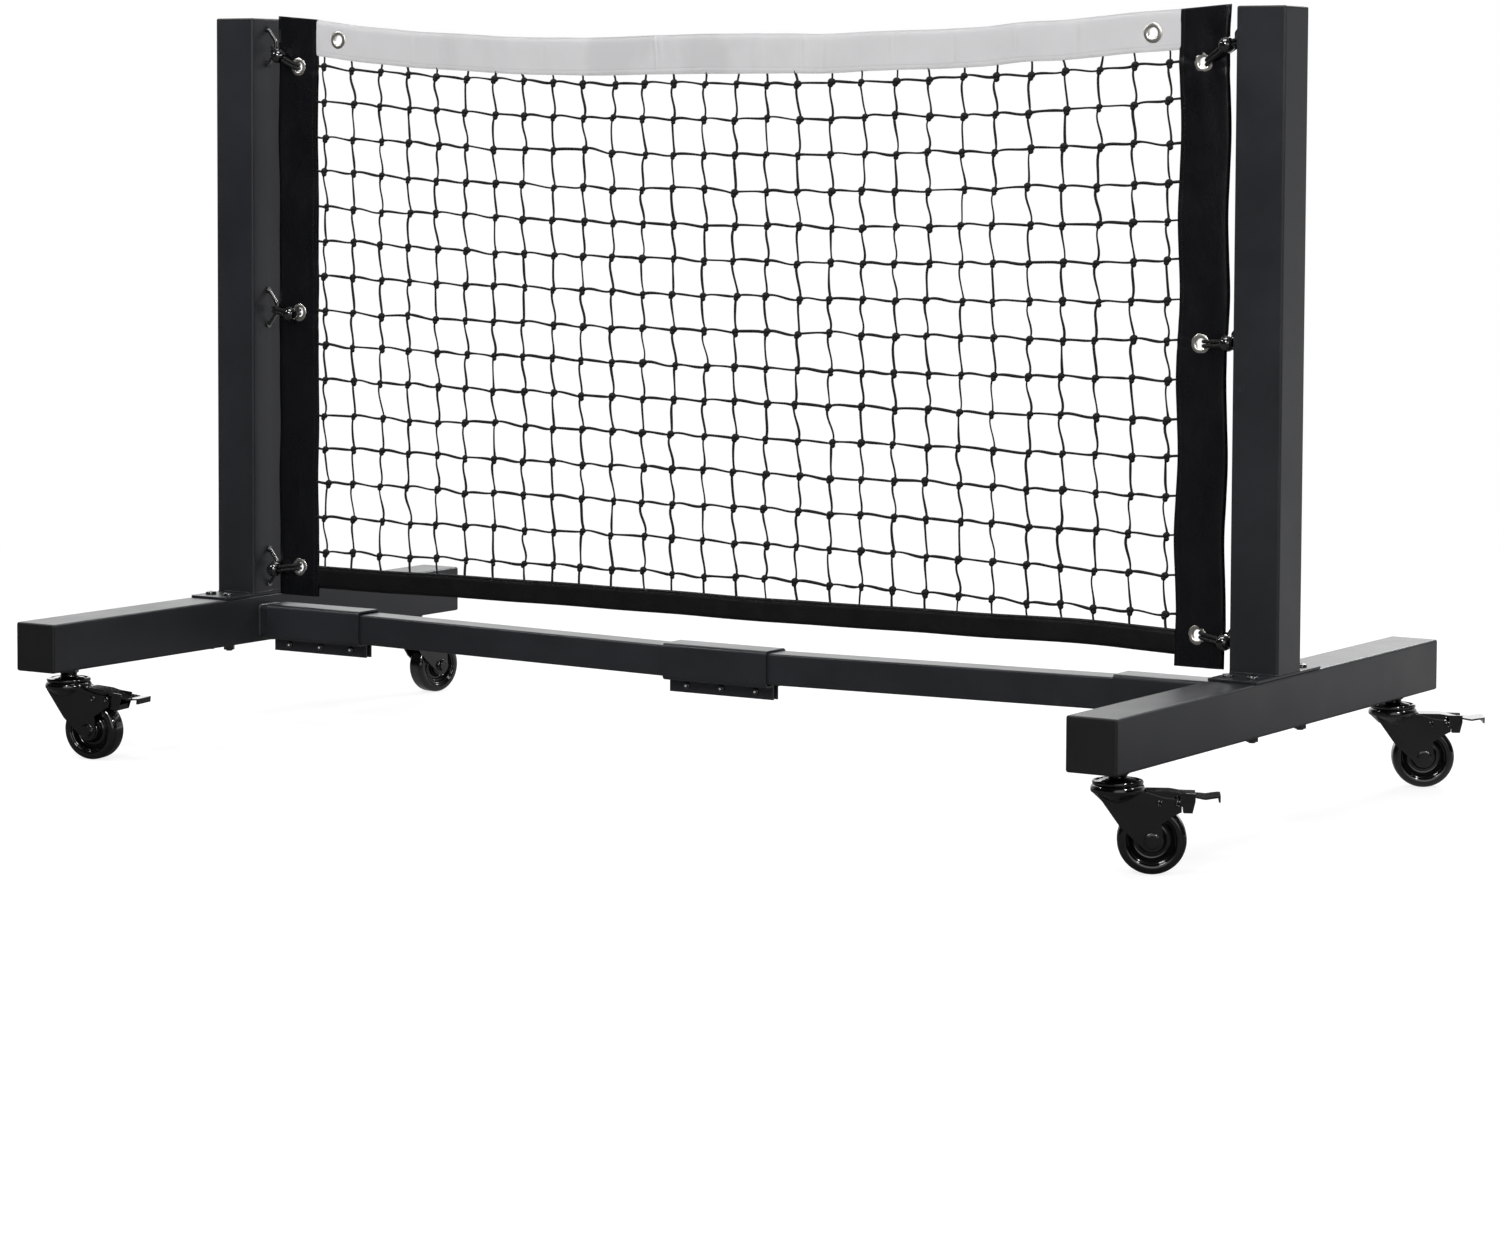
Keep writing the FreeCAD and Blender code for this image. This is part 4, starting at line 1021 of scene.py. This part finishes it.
def floor_finish():
    """White far out, and pale near the net, where a diffuse part takes its shadow."""
    material = bpy.data.materials.new("Pale studio floor")
    material.use_nodes = True
    tree = material.node_tree
    tree.nodes.clear()
    where = put(tree, "TexCoord").outputs["Object"]
    reach = put(tree, "VectorMath", {0: where}, operation="LENGTH").outputs["Value"]
    near = put(tree, "AddShader", {0: diffuse(tree, 0.3), 1: glowing(tree, 0.8)})
    seen = either(tree, eased(tree, reach, 1.2, 3.0), near, glowing(tree, 1.0))
    ahead = put(tree, "SeparateXYZ", {"Vector": where}).outputs["Y"]
    in_gloss = either(tree, eased(tree, ahead, -0.2, 1.6), diffuse(tree, 0.09), glowing(tree, 0.72))
    path = put(tree, "LightPath").outputs
    shiny = worked(tree, "MAXIMUM", path["Is Glossy Ray"], path["Is Transmission Ray"])
    other = either(tree, shiny, diffuse(tree, 0.6), in_gloss)
    put(tree, "OutputMaterial", {"Surface": either(tree, path["Is Camera Ray"], other, seen)})
    return material


ground = bmesh.new()
bmesh.ops.create_grid(ground, x_segments=2, y_segments=2, size=40.0)
floor = added("studio_floor", skin(ground, "studio_floor"))
floor.data.materials.append(floor_finish())

world = bpy.data.worlds.new("white room")
world.use_nodes = True
room = world.node_tree
room.nodes.clear()
heading = put(room, "TexCoord").outputs["Generated"]
parts = put(room, "SeparateXYZ", {"Vector": heading}).outputs
wall = worked(room, "MULTIPLY", eased(room, parts["Y"], -0.1, 0.8, 0.01, 1.0),
              eased(room, parts["X"], -0.7, 0.76, 1.36, 0.05))
wall = worked(room, "MULTIPLY", wall, eased(room, parts["Z"], 0.13, 0.45, 1.0, 2.0))
facing = put(room, "VectorMath", {0: heading, 1: (0.58, -0.80, 0.12)}, operation="DOT_PRODUCT")
reflector = eased(room, facing.outputs["Value"], 0.88, 0.96, 0.0, 0.9)
path = put(room, "LightPath").outputs
seen = put(room, "Mix", {0: path["Is Camera Ray"], 2: worked(room, "ADD", wall, reflector),
                         3: 1.0})
glow = put(room, "Background", {"Color": white, "Strength": seen})
put(room, "OutputWorld", {"Surface": glow})
bpy.context.scene.world = world


def lamp(name, place, target, size, power):
    light = bpy.data.lights.new(name, "AREA")
    light.shape = "RECTANGLE"
    light.size, light.size_y = size
    light.energy = power
    stand = added(name, light)
    stand.location = place
    aim = Vector(target) - Vector(place)
    stand.rotation_mode = "QUATERNION"
    stand.rotation_quaternion = aim.to_track_quat("-Z", "Y")


lamp("overhead_softbox", (0.1, -0.9, 3.0), (0, 0, 0.4), (1.6, 0.9), 29)
lamp("front_softbox", (0.9, -3.7, 2.6), (0, 0, 0.5), (0.9, 0.7), 55)
lamp("left_softbox", (-2.0, -1.5, 2.3), (0, 0, 0.3), (0.35, 0.35), 18)
lamp("right_softbox", (3.2, -1.5, 1.9), (0.3, 0, 0.3), (0.35, 0.35), 24)
lamp("side_softbox", (3.1, 0.3, 1.9), (0.3, 0, 0.2), (0.35, 0.35), 12)
lamp("back_softbox", (0.0, 3.4, 2.3), (0, 0, 0.5), (1.3, 0.7), 44)


# Camera
# At the photograph's place: 4.3 m in front of the net, 2.8 m to its right and 0.78 m up. A
# vertical shift puts the optical centre in the upper part of the picture.

photo_width, photo_height = 1500.0, 1233.0
focal_pixels, centre_row = 4222.4, 400.0
camera_data = bpy.data.cameras.new("photograph_camera")
camera_data.sensor_width = 36.0
camera_data.lens = focal_pixels * 36.0 / photo_width
camera_data.shift_y = (centre_row - photo_height / 2) / photo_width
camera = added("photograph_camera", camera_data)
yaw, tilt, roll = math.radians(32.4638), math.radians(-3.7216), math.radians(0.2531)
forward = Vector((-math.sin(yaw) * math.cos(tilt), math.cos(yaw) * math.cos(tilt),
                  math.sin(tilt)))
level_right = Vector((math.cos(yaw), math.sin(yaw), 0.0))
level_up = level_right.cross(forward)
right = level_right * math.cos(roll) + level_up * math.sin(roll)
above = level_up * math.cos(roll) - level_right * math.sin(roll)
camera.matrix_world = (Matrix.Translation((2.7521, -4.2587, 0.7799))
                       @ Matrix((right, above, -forward)).transposed().to_4x4())
bpy.context.scene.camera = camera
bpy.context.scene.view_settings.view_transform = "Standard"
